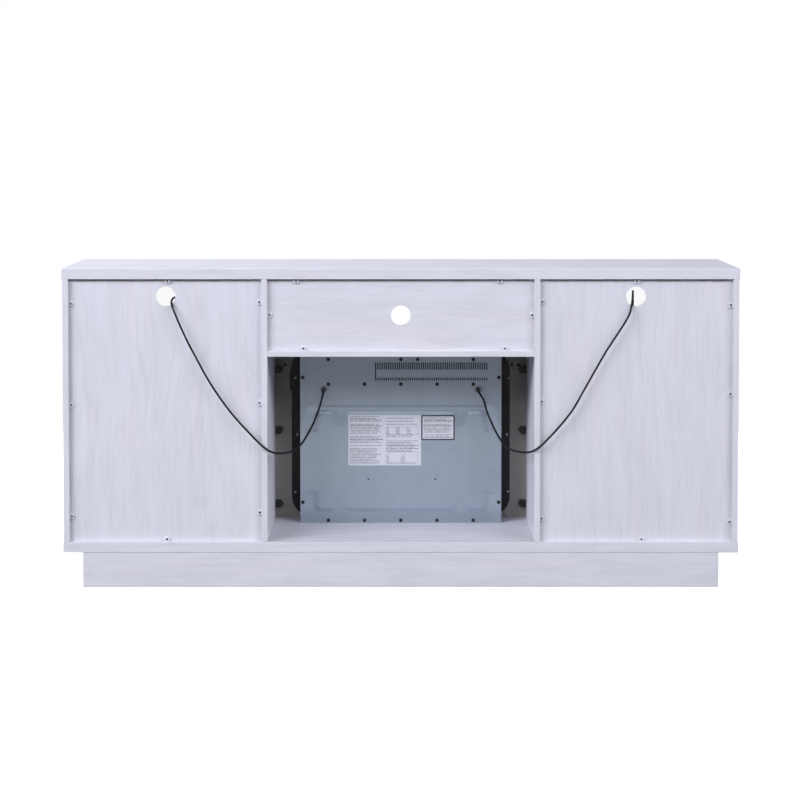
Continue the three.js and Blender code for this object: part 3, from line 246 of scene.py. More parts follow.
# Helpers for materials
def new_material(name, **sockets):
    """A material with one principled shader, whose plain values are set by socket name."""
    material = bpy.data.materials.new(name)
    material.use_nodes = True
    tree = material.node_tree
    tree.nodes.clear()
    shader = tree.nodes.new("ShaderNodeBsdfPrincipled")
    output = tree.nodes.new("ShaderNodeOutputMaterial")
    tree.links.new(shader.outputs["BSDF"], output.inputs["Surface"])
    for socket, value in sockets.items():
        shader.inputs[socket.replace("_", " ")].default_value = value
    return material, tree, shader


def node(tree, kind, sockets=None, **settings):
    """Adds a shader node. Sockets are given by name or number, as values or as links."""
    made = tree.nodes.new("ShaderNode" + kind)
    for name, value in settings.items():
        setattr(made, name, value)
    for name, value in (sockets or {}).items():
        if isinstance(value, bpy.types.NodeSocket):
            tree.links.new(value, made.inputs[name])
        else:
            made.inputs[name].default_value = value
    return made


def feed(tree, shader, **links):
    """Links values to the shader's sockets, by socket name."""
    for socket, value in links.items():
        tree.links.new(value, shader.inputs[socket.replace("_", " ")])


def maths(tree, operation, *values, clamp=False):
    """One operation on values or links, carried on from the first to the last."""
    result = values[0]
    for value in values[1:] or (0.0,):
        made = node(tree, "Math", {0: result, 1: value}, operation=operation, use_clamp=clamp)
        result = made.outputs[0]
    return result


def product(tree, *values):
    return maths(tree, "MULTIPLY", *values)


def weighted(tree, *pairs):
    """The sum of some values, each times its weight."""
    return maths(tree, "ADD", *(product(tree, value, weight) for value, weight in pairs))


def less(tree, first, second):
    return maths(tree, "SUBTRACT", first, second)


def mix_colours(tree, share, first, second):
    """A colour between two colours or links."""
    return node(tree, "Mix", {0: share, 6: first, 7: second}, data_type="RGBA").outputs[2]


def span(tree, value, low, high, out_low=0.0, out_high=1.0):
    """A value carried from one range to another, with soft ends."""
    sockets = {"Value": value, "From Min": low, "From Max": high}
    sockets.update({"To Min": out_low, "To Max": out_high})
    return node(tree, "MapRange", sockets, interpolation_type="SMOOTHSTEP").outputs["Result"]


def object_place(tree):
    return node(tree, "TexCoord").outputs["Object"]


def stretched(tree, place, scale, location=(0, 0, 0), rotation=(0, 0, 0)):
    sockets = {"Vector": place, "Scale": scale, "Location": location, "Rotation": rotation}
    return node(tree, "Mapping", sockets).outputs["Vector"]


def speckle(tree, place, scale, detail=2.0, roughness=0.5, distortion=0.0, shift=(0, 0, 0)):
    """The value of a noise pattern, whose scale is one number or one for each axis."""
    if isinstance(scale, tuple):
        place, scale = stretched(tree, place, scale, shift), 1.0
    sockets = {"Vector": place, "Scale": scale, "Detail": detail}
    sockets.update({"Roughness": roughness, "Distortion": distortion})
    return node(tree, "TexNoise", sockets).outputs["Fac"]


def raise_bump(tree, shader, height, strength, distance):
    bump = node(tree, "Bump", {"Height": height, "Strength": strength, "Distance": distance})
    feed(tree, shader, Normal=bump.outputs["Normal"])


def rgba(colour):
    return (*colour[:3], 1.0)


# The darker colours painted on the surround's rear face as painted shade, for the shade deep behind
# the firebox
PAINTED_SHADE_PALE = (0.4, 0.39, 0.35)
PAINTED_SHADE_DARK = (0.32, 0.31, 0.28)

# Turns that lay each axis along the grain's own Z
GRAIN_TURNS = {"X": (0, -math.pi / 2, 0), "Y": (math.pi / 2, 0, 0), "Z": (0, 0, 0)}


def laminate(name, along, offset, settings, shaded_rear=None):
    """White-grey printed wood: soft flames, fine streaks and a few warm ones, along one axis.

    Behind the shaded rear's Y, the board is painted darker: painted shade for the deep cavity
    behind the firebox.
    """
    material, tree, shader = new_material(name, Specular_IOR_Level=0.35)
    place = stretched(tree, object_place(tree), (1, 1, 1), offset, GRAIN_TURNS[along])
    sway = product(tree, speckle(tree, place, (7, 7, 2.4)), 0.045)
    sway = node(tree, "CombineXYZ", {0: sway}).outputs[0]
    swayed = node(tree, "VectorMath", {0: place, 1: sway}, operation="ADD").outputs[0]
    patches = speckle(tree, place, (8, 8, 4), 3.0, 0.6, shift=(4, 8, 2))
    flame = speckle(tree, swayed, (9, 9, 2.2), 1.5, 0.4)
    rings = maths(tree, "PINGPONG", product(tree, flame, 17.0), 1.0)
    rings = product(tree, span(tree, rings, 0.45, 1.0), span(tree, patches, 0.34, 0.66))
    bands = speckle(tree, swayed, (30, 30, 4.5), 3.0, 0.55, 0.3)
    streaks = speckle(tree, swayed, (150, 150, 8), 3.0, 0.62, 0.2)
    fibres = speckle(tree, swayed, (700, 700, 22))
    flecks = speckle(tree, swayed, (64, 64, 15), 3.0, 0.6, shift=(9, 2, 5))
    tone = weighted(
        tree, (rings, 0.3), (span(tree, bands, 0.38, 0.64), 0.34),
        (span(tree, streaks, 0.42, 0.68), 0.4), (span(tree, fibres, 0.45, 0.75), 0.16),
        (span(tree, flecks, 0.64, 0.74), 0.5),
    )
    warm = span(tree, speckle(tree, swayed, (22, 22, 3), shift=(7, 3, 1)), 0.48, 0.68)
    colour = mix_colours(tree, product(tree, warm, 0.8), rgba(settings.pale), rgba(settings.blush))
    colour = mix_colours(tree, product(tree, tone, 0.44), colour, rgba(settings.shade))
    # Painted shade: the rear face takes darker colours in place of the shade in the cavity
    if shaded_rear is not None:
        depth = node(tree, "SeparateXYZ", {0: object_place(tree)}).outputs["Y"]
        painted_shade = mix_colours(tree, streaks, rgba(PAINTED_SHADE_PALE), rgba(PAINTED_SHADE_DARK))
        colour = mix_colours(tree, maths(tree, "LESS_THAN", depth, shaded_rear), colour, painted_shade)
    dull = span(tree, fibres, 0.3, 0.7, settings.roughness - 0.06, settings.roughness + 0.08)
    feed(tree, shader, Base_Color=colour, Roughness=dull)
    raise_bump(tree, shader, maths(tree, "ADD", fibres, streaks), 0.35, settings.grain_depth)
    return material


def textured(name, colour, roughness, fine, cloudy, bump, specular=0.5):
    """One even colour with a fine texture, whose roughness drifts between two values."""
    material, tree, shader = new_material(
        name, Base_Color=rgba(colour), Specular_IOR_Level=specular
    )
    place = object_place(tree)
    feed(tree, shader, Roughness=span(tree, speckle(tree, place, *cloudy), 0.3, 0.7, *roughness))
    raise_bump(tree, shader, speckle(tree, place, *fine), *bump)
    return material


def black_plastic(name, colour, roughness, grain_scale):
    """Moulded plastic with a fine spark-eroded texture."""
    return textured(
        name, colour, (roughness - 0.06, roughness + 0.08), (grain_scale, 2.0, 0.6), (35.0,),
        (0.25, 0.00012),
    )


def coated_steel(name, colour, roughness):
    """Powder-coated sheet steel with a faint orange peel."""
    return textured(
        name, colour, (roughness - 0.05, roughness + 0.09), (900.0, 1.0), (18.0, 3.0),
        (0.2, 0.0001), 0.45,
    )


def lead_jacket(name):
    """Black PVC: nearly smooth, with a faint drawn texture."""
    return textured(
        name, (0.008, 0.0085, 0.0095), (0.38, 0.5), (420.0,), (420.0,), (0.15, 0.00008), 0.2
    )


def zinc_steel(name):
    """Blue-grey zinc-coated sheet with faint spangle, rolling lines and handling marks."""
    material, tree, shader = new_material(name, Metallic=0.55)
    place = object_place(tree)
    spangle = node(tree, "TexVoronoi", {"Vector": place, "Scale": 60.0}).outputs["Color"]
    spangle = node(tree, "SeparateColor", {0: spangle}).outputs[0]
    rolling = speckle(tree, place, (3.0, 3.0, 420.0), 3.0, 0.6)
    smudge = speckle(tree, place, 9.0, 4.0, 0.6, 0.4)
    tone = weighted(tree, (spangle, 0.25), (rolling, 0.35), (smudge, 0.5))
    colour = mix_colours(tree, tone, (0.38, 0.44, 0.52, 1), (0.315, 0.37, 0.445, 1))
    feed(tree, shader, Base_Color=colour, Roughness=span(tree, smudge, 0.3, 0.75, 0.34, 0.41))
    raise_bump(tree, shader, rolling, 0.05, 0.0001)
    return material


def satin_metal(name, colour, roughness):
    """Brushed metal with fine lines along X."""
    material, tree, shader = new_material(name, Metallic=1.0)
    brushed = speckle(tree, object_place(tree), (30, 900, 900))
    dark = [0.86 * part for part in colour]
    feed(
        tree, shader, Base_Color=mix_colours(tree, brushed, rgba(colour), rgba(dark)),
        Roughness=span(tree, brushed, 0.3, 0.7, roughness - 0.06, roughness + 0.08),
    )
    raise_bump(tree, shader, brushed, 0.1, 0.00005)
    return material


def flat_speckled(name, pale, dark, scale, roughness):
    """A plain finish with a slight mottle, for small parts."""
    material, tree, shader = new_material(name)
    mottle = speckle(tree, object_place(tree), scale, 3.0, 0.6)
    share = span(tree, mottle, 0.35, 0.7)
    feed(
        tree, shader, Base_Color=mix_colours(tree, share, rgba(pale), rgba(dark)),
        Roughness=span(tree, mottle, 0.3, 0.7, roughness - 0.05, roughness + 0.07),
    )
    raise_bump(tree, shader, mottle, 0.1, 0.0001)
    return material


def clear_glass(name, colour, roughness=0.0):
    """Glass with the faintest haze."""
    material, tree, shader = new_material(
        name, Base_Color=rgba(colour), Transmission_Weight=1.0, IOR=1.45
    )
    haze = speckle(tree, object_place(tree), 14.0)
    feed(tree, shader, Roughness=span(tree, haze, 0.4, 0.8, roughness, roughness + 0.015))
    return material


def bark(name):
    """Painted resin logs: charred furrows, brown ridges and ash on top."""
    material, tree, shader = new_material(name, Specular_IOR_Level=0.25)
    place = object_place(tree)
    furrow = speckle(tree, place, (40, 160, 160), 4.0, 0.65, 0.6)
    patch = speckle(tree, place, 16.0, 4.0, 0.6)
    ridges = span(tree, furrow, 0.4, 0.62)
    colour = mix_colours(tree, ridges, (0.018, 0.011, 0.008, 1), (0.2, 0.12, 0.07, 1))
    colour = mix_colours(tree, span(tree, patch, 0.46, 0.68), colour, (0.3, 0.27, 0.245, 1))
    feed(tree, shader, Base_Color=colour, Roughness=span(tree, patch, 0.3, 0.7, 0.7, 0.95))
    raise_bump(tree, shader, furrow, 0.7, 0.0015)
    return material


def ember(name):
    """Translucent resin embers: amber and red lumps dusted with char."""
    material, tree, shader = new_material(name)
    place = object_place(tree)
    lumps = span(tree, speckle(tree, place, 55.0, 3.0), 0.35, 0.65)
    char = speckle(tree, place, 150.0, 4.0, 0.7)
    colour = mix_colours(tree, lumps, (0.32, 0.045, 0.008, 1), (0.6, 0.2, 0.03, 1))
    colour = mix_colours(tree, span(tree, char, 0.45, 0.6), colour, (0.02, 0.014, 0.012, 1))
    feed(tree, shader, Base_Color=colour, Roughness=span(tree, char, 0.3, 0.7, 0.3, 0.8))
    raise_bump(tree, shader, char, 0.5, 0.001)
    return material


def dress(material, *names):
    """Gives CAD nodes their finish."""
    for name in names:
        slots = NODES[name].data.materials
        slots.clear()
        slots.append(material)


# Helpers for pieces
def linked(name, data):
    """A new object in the scene."""
    made = bpy.data.objects.new(name, data)
    bpy.context.scene.collection.objects.link(made)
    return made


def finish_piece(name, mesh, material, smooth_angle=35):
    """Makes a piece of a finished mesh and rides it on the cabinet."""
    for polygon in mesh.polygons:
        polygon.use_smooth = True
    mesh.set_sharp_from_angle(angle=math.radians(smooth_angle))
    mesh.materials.clear()
    mesh.materials.append(material)
    piece = linked(name, mesh)
    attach(piece, "cabinet")
    return piece


def plain_mesh(bm, name):
    """A mesh of a bmesh, which is used up."""
    mesh = bpy.data.meshes.new(name)
    bm.to_mesh(mesh)
    bm.free()
    return mesh


def mesh_from(bm, name):
    """The same, after its faces are turned outwards."""
    bmesh.ops.recalc_face_normals(bm, faces=bm.faces)
    return plain_mesh(bm, name)


def applied(piece):
    """A bmesh of an object with its modifiers applied. The object is used up."""
    graph = bpy.context.evaluated_depsgraph_get()
    result = bmesh.new()
    result.from_mesh(piece.evaluated_get(graph).to_mesh())
    discard(piece)
    return result


def discard(piece):
    mesh = piece.data
    bpy.data.objects.remove(piece)
    bpy.data.meshes.remove(mesh)


def cut_by(bm, cutter):
    """The first bmesh less the second."""
    body = linked("cut_body", plain_mesh(bm, "cut_body"))
    tool = linked("cut_tool", plain_mesh(cutter, "cut_tool"))
    modifier = body.modifiers.new("cut", "BOOLEAN")
    modifier.object = tool
    modifier.solver = "EXACT"
    result = applied(body)
    discard(tool)
    return result


def thickened(bm, thickness):
    """A sheet given its thickness behind its face."""
    piece = linked("thin_sheet", plain_mesh(bm, "thin_sheet"))
    modifier = piece.modifiers.new("sheet", "SOLIDIFY")
    modifier.thickness = thickness
    modifier.offset = -1
    return applied(piece)


def add_box(bm, middle, size, turn=Matrix()):
    """A box, moved to its middle and then turned about the origin."""
    place = turn @ Matrix.Translation(middle) @ Matrix.Diagonal((*size, 1))
    bmesh.ops.create_cube(bm, size=1, matrix=place)


def edges_along(bm, axis, least=1e-5):
    """The edges that run along an axis, given as its number, for more than the least length."""
    return [e for e in bm.edges if abs(e.verts[0].co[axis] - e.verts[1].co[axis]) > least]


def round_edges(bm, edges, offset, segments):
    bmesh.ops.bevel(
        bm, geom=edges, offset=offset, affect="EDGES", segments=segments, profile=0.5, material=-1
    )


def lathe(profile, steps):
    """A solid turned about Z from (radius, height) points that start and end on the axis."""
    bm = bmesh.new()
    spots = [bm.verts.new((radius, 0, height)) for radius, height in profile]
    for a, b in zip(spots, spots[1:]):
        bm.edges.new((a, b))
    bmesh.ops.spin(
        bm, geom=bm.verts[:] + bm.edges[:], cent=(0, 0, 0), axis=(0, 0, 1),
        angle=2 * math.pi, steps=steps, use_merge=True,
    )
    bmesh.ops.remove_doubles(bm, verts=bm.verts, dist=1e-6)
    bmesh.ops.recalc_face_normals(bm, faces=bm.faces)
    return bm


def stamped(name, pattern, places):
    """One mesh holding a copy of a bmesh at each place, which is a matrix."""
    sample = plain_mesh(pattern, name + "_pattern")
    bm = bmesh.new()
    for place in places:
        before = len(bm.verts)
        bm.from_mesh(sample)
        bm.verts.ensure_lookup_table()
        bmesh.ops.transform(bm, matrix=place, verts=bm.verts[before:])
    bpy.data.meshes.remove(sample)
    return plain_mesh(bm, name)


# A screw head's outline and its recess's size, as shares of its radius
HEAD_SHAPE = (
    (0, -0.3), (0.86, -0.3), (1, 0), (1, 0.12), (0.9, 0.36), (0.68, 0.5), (0.38, 0.56), (0, 0.58),
)
RECESS_SHAPE = (1.1, 0.26, 0.68)


def screw_head(radius, steps=20):
    """A pan-head screw with a cross recess, its seat at Z 0."""
    head = lathe([(a * radius, b * radius) for a, b in HEAD_SHAPE], steps)
    size = [share * radius for share in RECESS_SHAPE]
    for turn in (0, math.pi / 2):
        bar = bmesh.new()
        add_box(bar, (0, 0, HEAD_SHAPE[-1][1] * radius), size, Matrix.Rotation(turn, 4, "Z"))
        head = cut_by(head, bar)
    return head


def facing_back(x, y, z, turn=0.0):
    """A place on a face that looks to -Y, for a pattern modelled with its seat down on Z 0."""
    return (
        Matrix.Translation((x, y, z)) @ Matrix.Rotation(math.pi / 2, 4, "X")
        @ Matrix.Rotation(turn, 4, "Z")
    )


# Leads
def smooth_line(points, steps):
    """A centripetal Catmull-Rom curve through the points, as close points along it."""
    knots = [Vector(p) for p in points]
    knots = [2 * knots[0] - knots[1], *knots, 2 * knots[-1] - knots[-2]]
    line = []
    for a, b, c, d in zip(knots, knots[1:], knots[2:], knots[3:]):
        t1 = (b - a).length ** 0.5
        t2 = t1 + (c - b).length ** 0.5
        t3 = t2 + (d - c).length ** 0.5
        for i in range(steps):
            t = t1 + (t2 - t1) * i / steps
            ab = a * ((t1 - t) / t1) + b * (t / t1)
            bc = b * ((t2 - t) / (t2 - t1)) + c * ((t - t1) / (t2 - t1))
            cd = c * ((t3 - t) / (t3 - t2)) + d * ((t - t2) / (t3 - t2))
            abc = ab * ((t2 - t) / t2) + bc * (t / t2)
            bcd = bc * ((t3 - t) / (t3 - t1)) + cd * ((t - t1) / (t3 - t1))
            line.append(abc * ((t2 - t) / (t2 - t1)) + bcd * ((t - t1) / (t2 - t1)))
    line.append(knots[-2])
    return line


def line_length(line):
    return sum((b - a).length for a, b in zip(line, line[1:]))


def coil_line(start, heading, length, settings):
    """Two layers of turns: in on the shelf, up where the spiral turns back, and out on top."""
    diameter = settings.diameter
    pitch = diameter + settings.coil_gap
    turns = settings.coil_turns
    outer = (length - 2 * diameter) / (turns * 2 * math.pi) + turns / 4 * pitch
    centre = Vector((start.x + heading * diameter, start.y + outer, start.z))
    line = [start.copy()]
    for i in range(round(turns * settings.coil_steps) + 1):
        turn = i / settings.coil_steps
        past = turn - turns / 2
        radius = outer - (turns / 2 - abs(past)) * pitch
        climb = min(1, max(0, 0.5 + 2 * past))
        angle = -math.pi / 2 - turn * 2 * math.pi
        line.append(centre + Vector((
            -heading * radius * math.cos(angle), radius * math.sin(angle), climb * pitch
        )))
    line.append(line[-1] - Vector((heading * diameter, 0, 0)))
    return line


def lead_curve(name, line, radius, sides):
    """A round jacket along one open spline."""
    curve = bpy.data.curves.new(name, "CURVE")
    curve.dimensions = "3D"
    curve.bevel_depth = radius
    curve.bevel_resolution = (sides - 4) // 2
    curve.use_fill_caps = True
    spline = curve.splines.new("POLY")
    spline.points.add(len(line) - 1)
    for point, place in zip(spline.points, line):
        point.co = (*place, 1)
    spline.use_smooth = True
    return linked(name, curve)


class TVSTAND_OT_finish_boards(bpy.types.Operator):
    """Lays the wood print along each board."""

    bl_idname = "tv_stand.finish_boards"
    bl_label = "Finish Boards"

    def execute(self, context):
        settings = context.scene.stand_boards
        dress(
            laminate("laminate_upright", "Z", (0, 0, 0), settings),
            "left_side_panel", "right_side_panel", "left_divider", "right_divider",
            "left_back_panel", "right_back_panel",
        )
        dress(
            laminate("laminate_level", "X", (3.1, 1.7, 5.2), settings),
            "top_panel", "bottom_panel", "left_shelf", "right_shelf", "media_shelf",
            "media_back_panel", "plinth_back_rail", "plinth_front_rail",
        )
        dress(
            laminate("laminate_inward", "Y", (1.3, 4.4, 2.6), settings),
            "plinth_left_end", "plinth_right_end", "plinth_centre_rib",
        )
        # The surround's rear face gets painted shade, darker than its print
        shaded_rear = SURROUND_FACE + 0.0005
        dress(
            laminate("laminate_painted_shade", "X", (0.4, 2.2, 7.7), settings, shaded_rear),
            "surround_board",
        )
        return {"FINISHED"}


class TVSTAND_OT_finish_firebox(bpy.types.Operator):
    """Gives the firebox its steel, plastic, glass and working parts' finishes."""

    bl_idname = "tv_stand.finish_firebox"
    bl_label = "Finish Firebox"

    def execute(self, context):
        dress(zinc_steel("shell_steel"), "firebox_shell", "heater_housing")
        dress(coated_steel("black_steel_finish", (0.005, 0.005, 0.006), 0.5), "front_flange")
        dress(
            black_plastic("black_plastic_finish", (0.012, 0.012, 0.013), 0.42, 1500.0),
            "bezel", "blower_wheel",
        )
        dress(
            black_plastic("button_plastic", (0.03, 0.03, 0.032), 0.3, 2200.0),
            "power_button", "flame_button", "heat_button",
        )
        blocks = [
            f"{side}_{level}_corner_block" for side in ("left", "right")
            for level in ("lower", "middle", "upper")
        ]
        dress(
            black_plastic("fitting_plastic", (0.008, 0.008, 0.009), 0.5, 1100.0),
            *blocks, "left_magnet_catch", "right_magnet_catch",
        )
        dress(
            satin_metal("motor_metal", (0.55, 0.56, 0.58), 0.34),
            "flame_rotor", "rotor_motor", "blower_motor",
        )
        dress(clear_glass("firebox_glass", (0.9, 0.92, 0.93)), "viewing_glass")
        dress(clear_glass("smoked_screen_finish", (0.3, 0.3, 0.32), 0.1), "flame_screen")
        dress(
            flat_speckled("mica_board", (0.5, 0.38, 0.22), (0.34, 0.24, 0.12), 240.0, 0.55),
            "heating_element",
        )
        dress(
            flat_speckled("solder_mask", (0.02, 0.13, 0.05), (0.012, 0.085, 0.03), 300.0, 0.3),
            "control_board",
        )
        return {"FINISHED"}


# The cover's pressings: each outline's left, right, foot and head, and its corner radius
FIELD = (-0.253, 0.253, 0.05, 0.4438, 0.03)
FIELD_SIDE_SLOPE = 0.036
PILLOWS = (
    (-0.2345, -0.1785, 0.1552, 0.4249, 0.016), (-0.1525, 0.1525, 0.1552, 0.4249, 0.016),
    (0.1785, 0.2345, 0.1552, 0.4249, 0.016),
)
RIBS = ((-0.29, -0.2245, 0.2025, 0.3775, 0.0065), (0.2245, 0.29, 0.2025, 0.3775, 0.0065))
RIB_SLOPE = 0.011
# The stretch where the field between the pillows is nearly level with them
SHALLOWS = (-0.2345, 0.2345, 0.18, 0.4, 0.016)
SHALLOWS_SLOPE = 0.03
SHALLOWS_SHARE = 0.7
# The heights between which the field rises to the cover's foot, and how deep it stays above that
FOOT_RISE = (0.129, 0.15)
FOOT_SHARE = 0.85
# Above these heights the field sinks from that share to its whole depth
FOOT_FADE = (0.17, 0.29)
SLOTS_LEFT = -0.071
SLOT_WIDTH = 0.003
SLOT_COUNT = 52
SLOT_ROWS = ((0.5148, 0.5228), (0.5448, 0.5648))
PRESS_STEP = 0.0015
# Where the sheet bends, so its grid lines lie close
PRESS_COLUMNS = ((-0.272, -0.134), (0.134, 0.272))
PRESS_ROWS = ((0.128, 0.18), (0.194, 0.213), (0.367, 0.388), (0.4035, 0.4535))
# Outside those, every second column and every sixth row
COLUMN_SKIP = 2
ROW_SKIP = 6
# The black tray behind the slots is painted shade that keeps them dark: its reach past the slots at
# its sides and ends, its places behind the face, its sheet
TRAY_MARGINS = (0.006, 0.005)
TRAY_GAP = 0.0012
TRAY_DEPTH = 0.0115
TRAY_SHEET = 0.0006
TRAY_CORNER = 0.002


class TVSTAND_OT_press_cover(bpy.types.Operator):
    """Presses the back cover: its sunk field, three pillows, two ribs and two rows of slots."""

    bl_idname = "tv_stand.press_cover"
    bl_label = "Press Cover"

    def execute(self, context):
        settings = context.scene.stand_cover
        low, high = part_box("back_cover")
        columns = grid_lines((low.x, high.x), SLOTS_LEFT, COLUMN_SKIP, PRESS_COLUMNS, ())
        slot_ends = [z for row in SLOT_ROWS for z in row]
        rows = grid_lines((low.z, high.z), low.z, ROW_SKIP, PRESS_ROWS, slot_ends)
        across, up = len(columns) - 1, len(rows) - 1
        bm = bmesh.new()
        bmesh.ops.create_grid(bm, x_segments=across, y_segments=up, size=0.5)
        for vert in bm.verts:
            x = columns[round((vert.co.x + 0.5) * across)]
            z = rows[round((vert.co.y + 0.5) * up)]
            vert.co = (x, low.y + settings.press_depth * sunk_share(x, z, settings), z)
        slots = [face for face in bm.faces if in_slot(face.calc_center_median())]
        bmesh.ops.delete(bm, geom=slots, context="FACES")
        mesh = plain_mesh(thickened(bm, settings.sheet), "pressed_cover")
        cover = finish_piece("pressed_cover", mesh, zinc_steel("cover_steel"))
        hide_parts("back_cover")
        # Painted shade: a black tray behind the slots, so they read dark
        tray = mesh_from(thickened(shading_box(), TRAY_SHEET), "slot_shade_tray")
        black = coated_steel("shade_tray_steel", (0.006, 0.006, 0.007), 0.6)
        finish_piece("slot_shade_tray", tray, black)
        return {"FINISHED"}


def shading_box():
    """The shallow black tray behind the slots, open towards them: painted shade that keeps the
    slots dark.
    """
    beside, past = TRAY_MARGINS
    left, right = SLOTS_LEFT - beside, SLOTS_LEFT + (2 * SLOT_COUNT - 1) * SLOT_WIDTH + beside
    foot, head = SLOT_ROWS[0][0] - past, SLOT_ROWS[1][1] + past
    near, far = COVER_FACE + TRAY_GAP, COVER_FACE + TRAY_DEPTH
    tray = bmesh.new()
    middle = ((left + right) / 2, (near + far) / 2, (foot + head) / 2)
    add_box(tray, middle, (right - left, far - near, head - foot))
    mouth = [face for face in tray.faces if face.calc_center_median().y < near + 1e-5]
    bmesh.ops.delete(tray, geom=mouth, context="FACES")
    round_edges(tray, edges_along(tray, 1), TRAY_CORNER, 3)
    return tray


def grid_lines(ends, start, skip, zones, fixed):
    """Lines from end to end: each step inside the zones, every few outside, and the fixed ones."""
    low, high = ends
    lines = [low, high, *fixed]
    for k in range(math.ceil((low - start) / PRESS_STEP), math.ceil((high - start) / PRESS_STEP)):
        line = start + k * PRESS_STEP
        wanted = k % skip == 0 or any(a <= line <= b for a, b in zones)
        if wanted and min(abs(line - other) for other in (low, high, *fixed)) > PRESS_STEP / 2:
            lines.append(line)
    return sorted(lines)


def ease(place, low, high):
    """A soft step from 0 to 1 between two places."""
    share = min(1, max(0, (place - low) / (high - low)))
    return share * share * (3 - 2 * share)


def ramp(share, rounding=0.15):
    """A straight slope from 0 to 1 with rounded ends."""
    share = min(1, max(0, share))
    reach = min(share, 1 - share)
    rise = reach * reach / (2 * rounding) if reach < rounding else reach - rounding / 2
    rise /= 1 - rounding
    return rise if share < 0.5 else 1 - rise


def pressing(x, z, outline, level, upright):
    """How far a point is up an outline's slope: 0 outside it and 1 on its flat."""
    left, right, foot, head, radius = outline
    out_x = max(left - x, x - right) + radius
    out_z = max(foot - z, z - head) + radius
    corner = Vector((max(out_x, 0), max(out_z, 0)))
    inside = radius - corner.length - min(max(out_x, out_z), 0)
    heading = corner.normalized() if corner.length else Vector((1, 0))
    return ramp(0.5 + inside / math.hypot(heading.x * upright, heading.y * level))


def sunk_share(x, z, settings):
    """The pressed depth at a place on the cover, as a share of the whole."""
    field = pressing(x, z, FIELD, settings.level_slope, FIELD_SIDE_SLOPE)
    raised = [pressing(x, z, one, settings.level_slope, settings.upright_slope) for one in PILLOWS]
    raised += [pressing(x, z, one, RIB_SLOPE, RIB_SLOPE) for one in RIBS]
    level = SHALLOWS_SHARE * pressing(x, z, SHALLOWS, SHALLOWS_SLOPE, SHALLOWS_SLOPE)
    field *= ease(z, *FOOT_RISE)
    field *= FOOT_SHARE + (1 - FOOT_SHARE) * ease(z, *FOOT_FADE)
    return field * (1 - max(raised)) * (1 - level)


def in_slot(spot):
    """Whether a place on the cover lies in a slot. The first slot runs through both rows."""
    number, along = divmod(spot.x - SLOTS_LEFT, 2 * SLOT_WIDTH)
    if along > SLOT_WIDTH or not 0 <= number < SLOT_COUNT:
        return False
    (low, low_head), (high_foot, high) = SLOT_ROWS
    if number == 0:
        return low < spot.z < high
    return low < spot.z < low_head or high_foot < spot.z < high


class TVSTAND_OT_finish_doors(bpy.types.Operator):
    """Gives the glass doors and their metal fittings their finishes."""

    bl_idname = "tv_stand.finish_doors"
    bl_label = "Finish Doors"

    def execute(self, context):
        glass = clear_glass("door_glass_finish", (0.985, 0.99, 0.99))
        metal = satin_metal("satin_metal_finish", (0.6, 0.61, 0.63), 0.3)
        for door in ("left_door_", "right_door_"):
            dress(glass, door + "glass")
            dress(metal, door + "upper_clamp", door + "lower_clamp", door + "pull")
        return {"FINISHED"}


# Points laid from one of a lead's points to the next, and the step from there into its coil
LINE_STEPS = 8
JOIN_STEP = 0.0003


class TVSTAND_OT_lay_leads(bpy.types.Operator):
    """Runs both leads out of the firebox, through the back panels and into their coils."""

    bl_idname = "tv_stand.lay_leads"
    bl_label = "Lay Leads"

    def execute(self, context):
        settings = context.scene.stand_leads
        jacket = lead_jacket("lead_jacket_finish")
        relief_plastic = black_plastic("relief_plastic", (0.15, 0.135, 0.12), 0.5, 1500.0)
        plug_plastic = black_plastic("plug_plastic", (0.012, 0.012, 0.013), 0.45, 1500.0)
        blade_metal = satin_metal("blade_metal", (0.72, 0.7, 0.62), 0.25)
        for word, heading, points in (
            ("left", -1, LEFT_LEAD_POINTS), ("right", 1, RIGHT_LEAD_POINTS)
        ):
            free = smooth_line(points, LINE_STEPS)
            start = free[-1] + Vector((heading * JOIN_STEP, 0, 0))
            line = free + coil_line(start, heading, settings.length - line_length(free), settings)
            lead = lead_curve(word + "_supply_lead", line, settings.diameter / 2, settings.sides)
            lead.data.materials.append(jacket)
            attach(lead, "cabinet")
            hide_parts(word + "_lead", word + "_lead_coil")
            relief = strain_relief(word + "_lead_relief", points[0], relief_plastic)
            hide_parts(word + "_strain_relief")
            body = plug_body(word + "_plug_body", line[-1], -heading, settings, plug_plastic)
            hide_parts(word + "_plug")
            blades = plug_blades(word + "_plug_blades", line[-1], -heading, blade_metal)
        return {"FINISHED"}


# The places along Y of the relief's collar's top and its boot's tip, and the relief's radii
RELIEF_COLLAR_TOP = 0.0702
RELIEF_END = 0.0499
RELIEF_COLLAR = 0.008
RELIEF_ROOT = 0.0055
RELIEF_TIP = 0.0039
RELIEF_RIBS = 5
RELIEF_GROOVE = 0.86


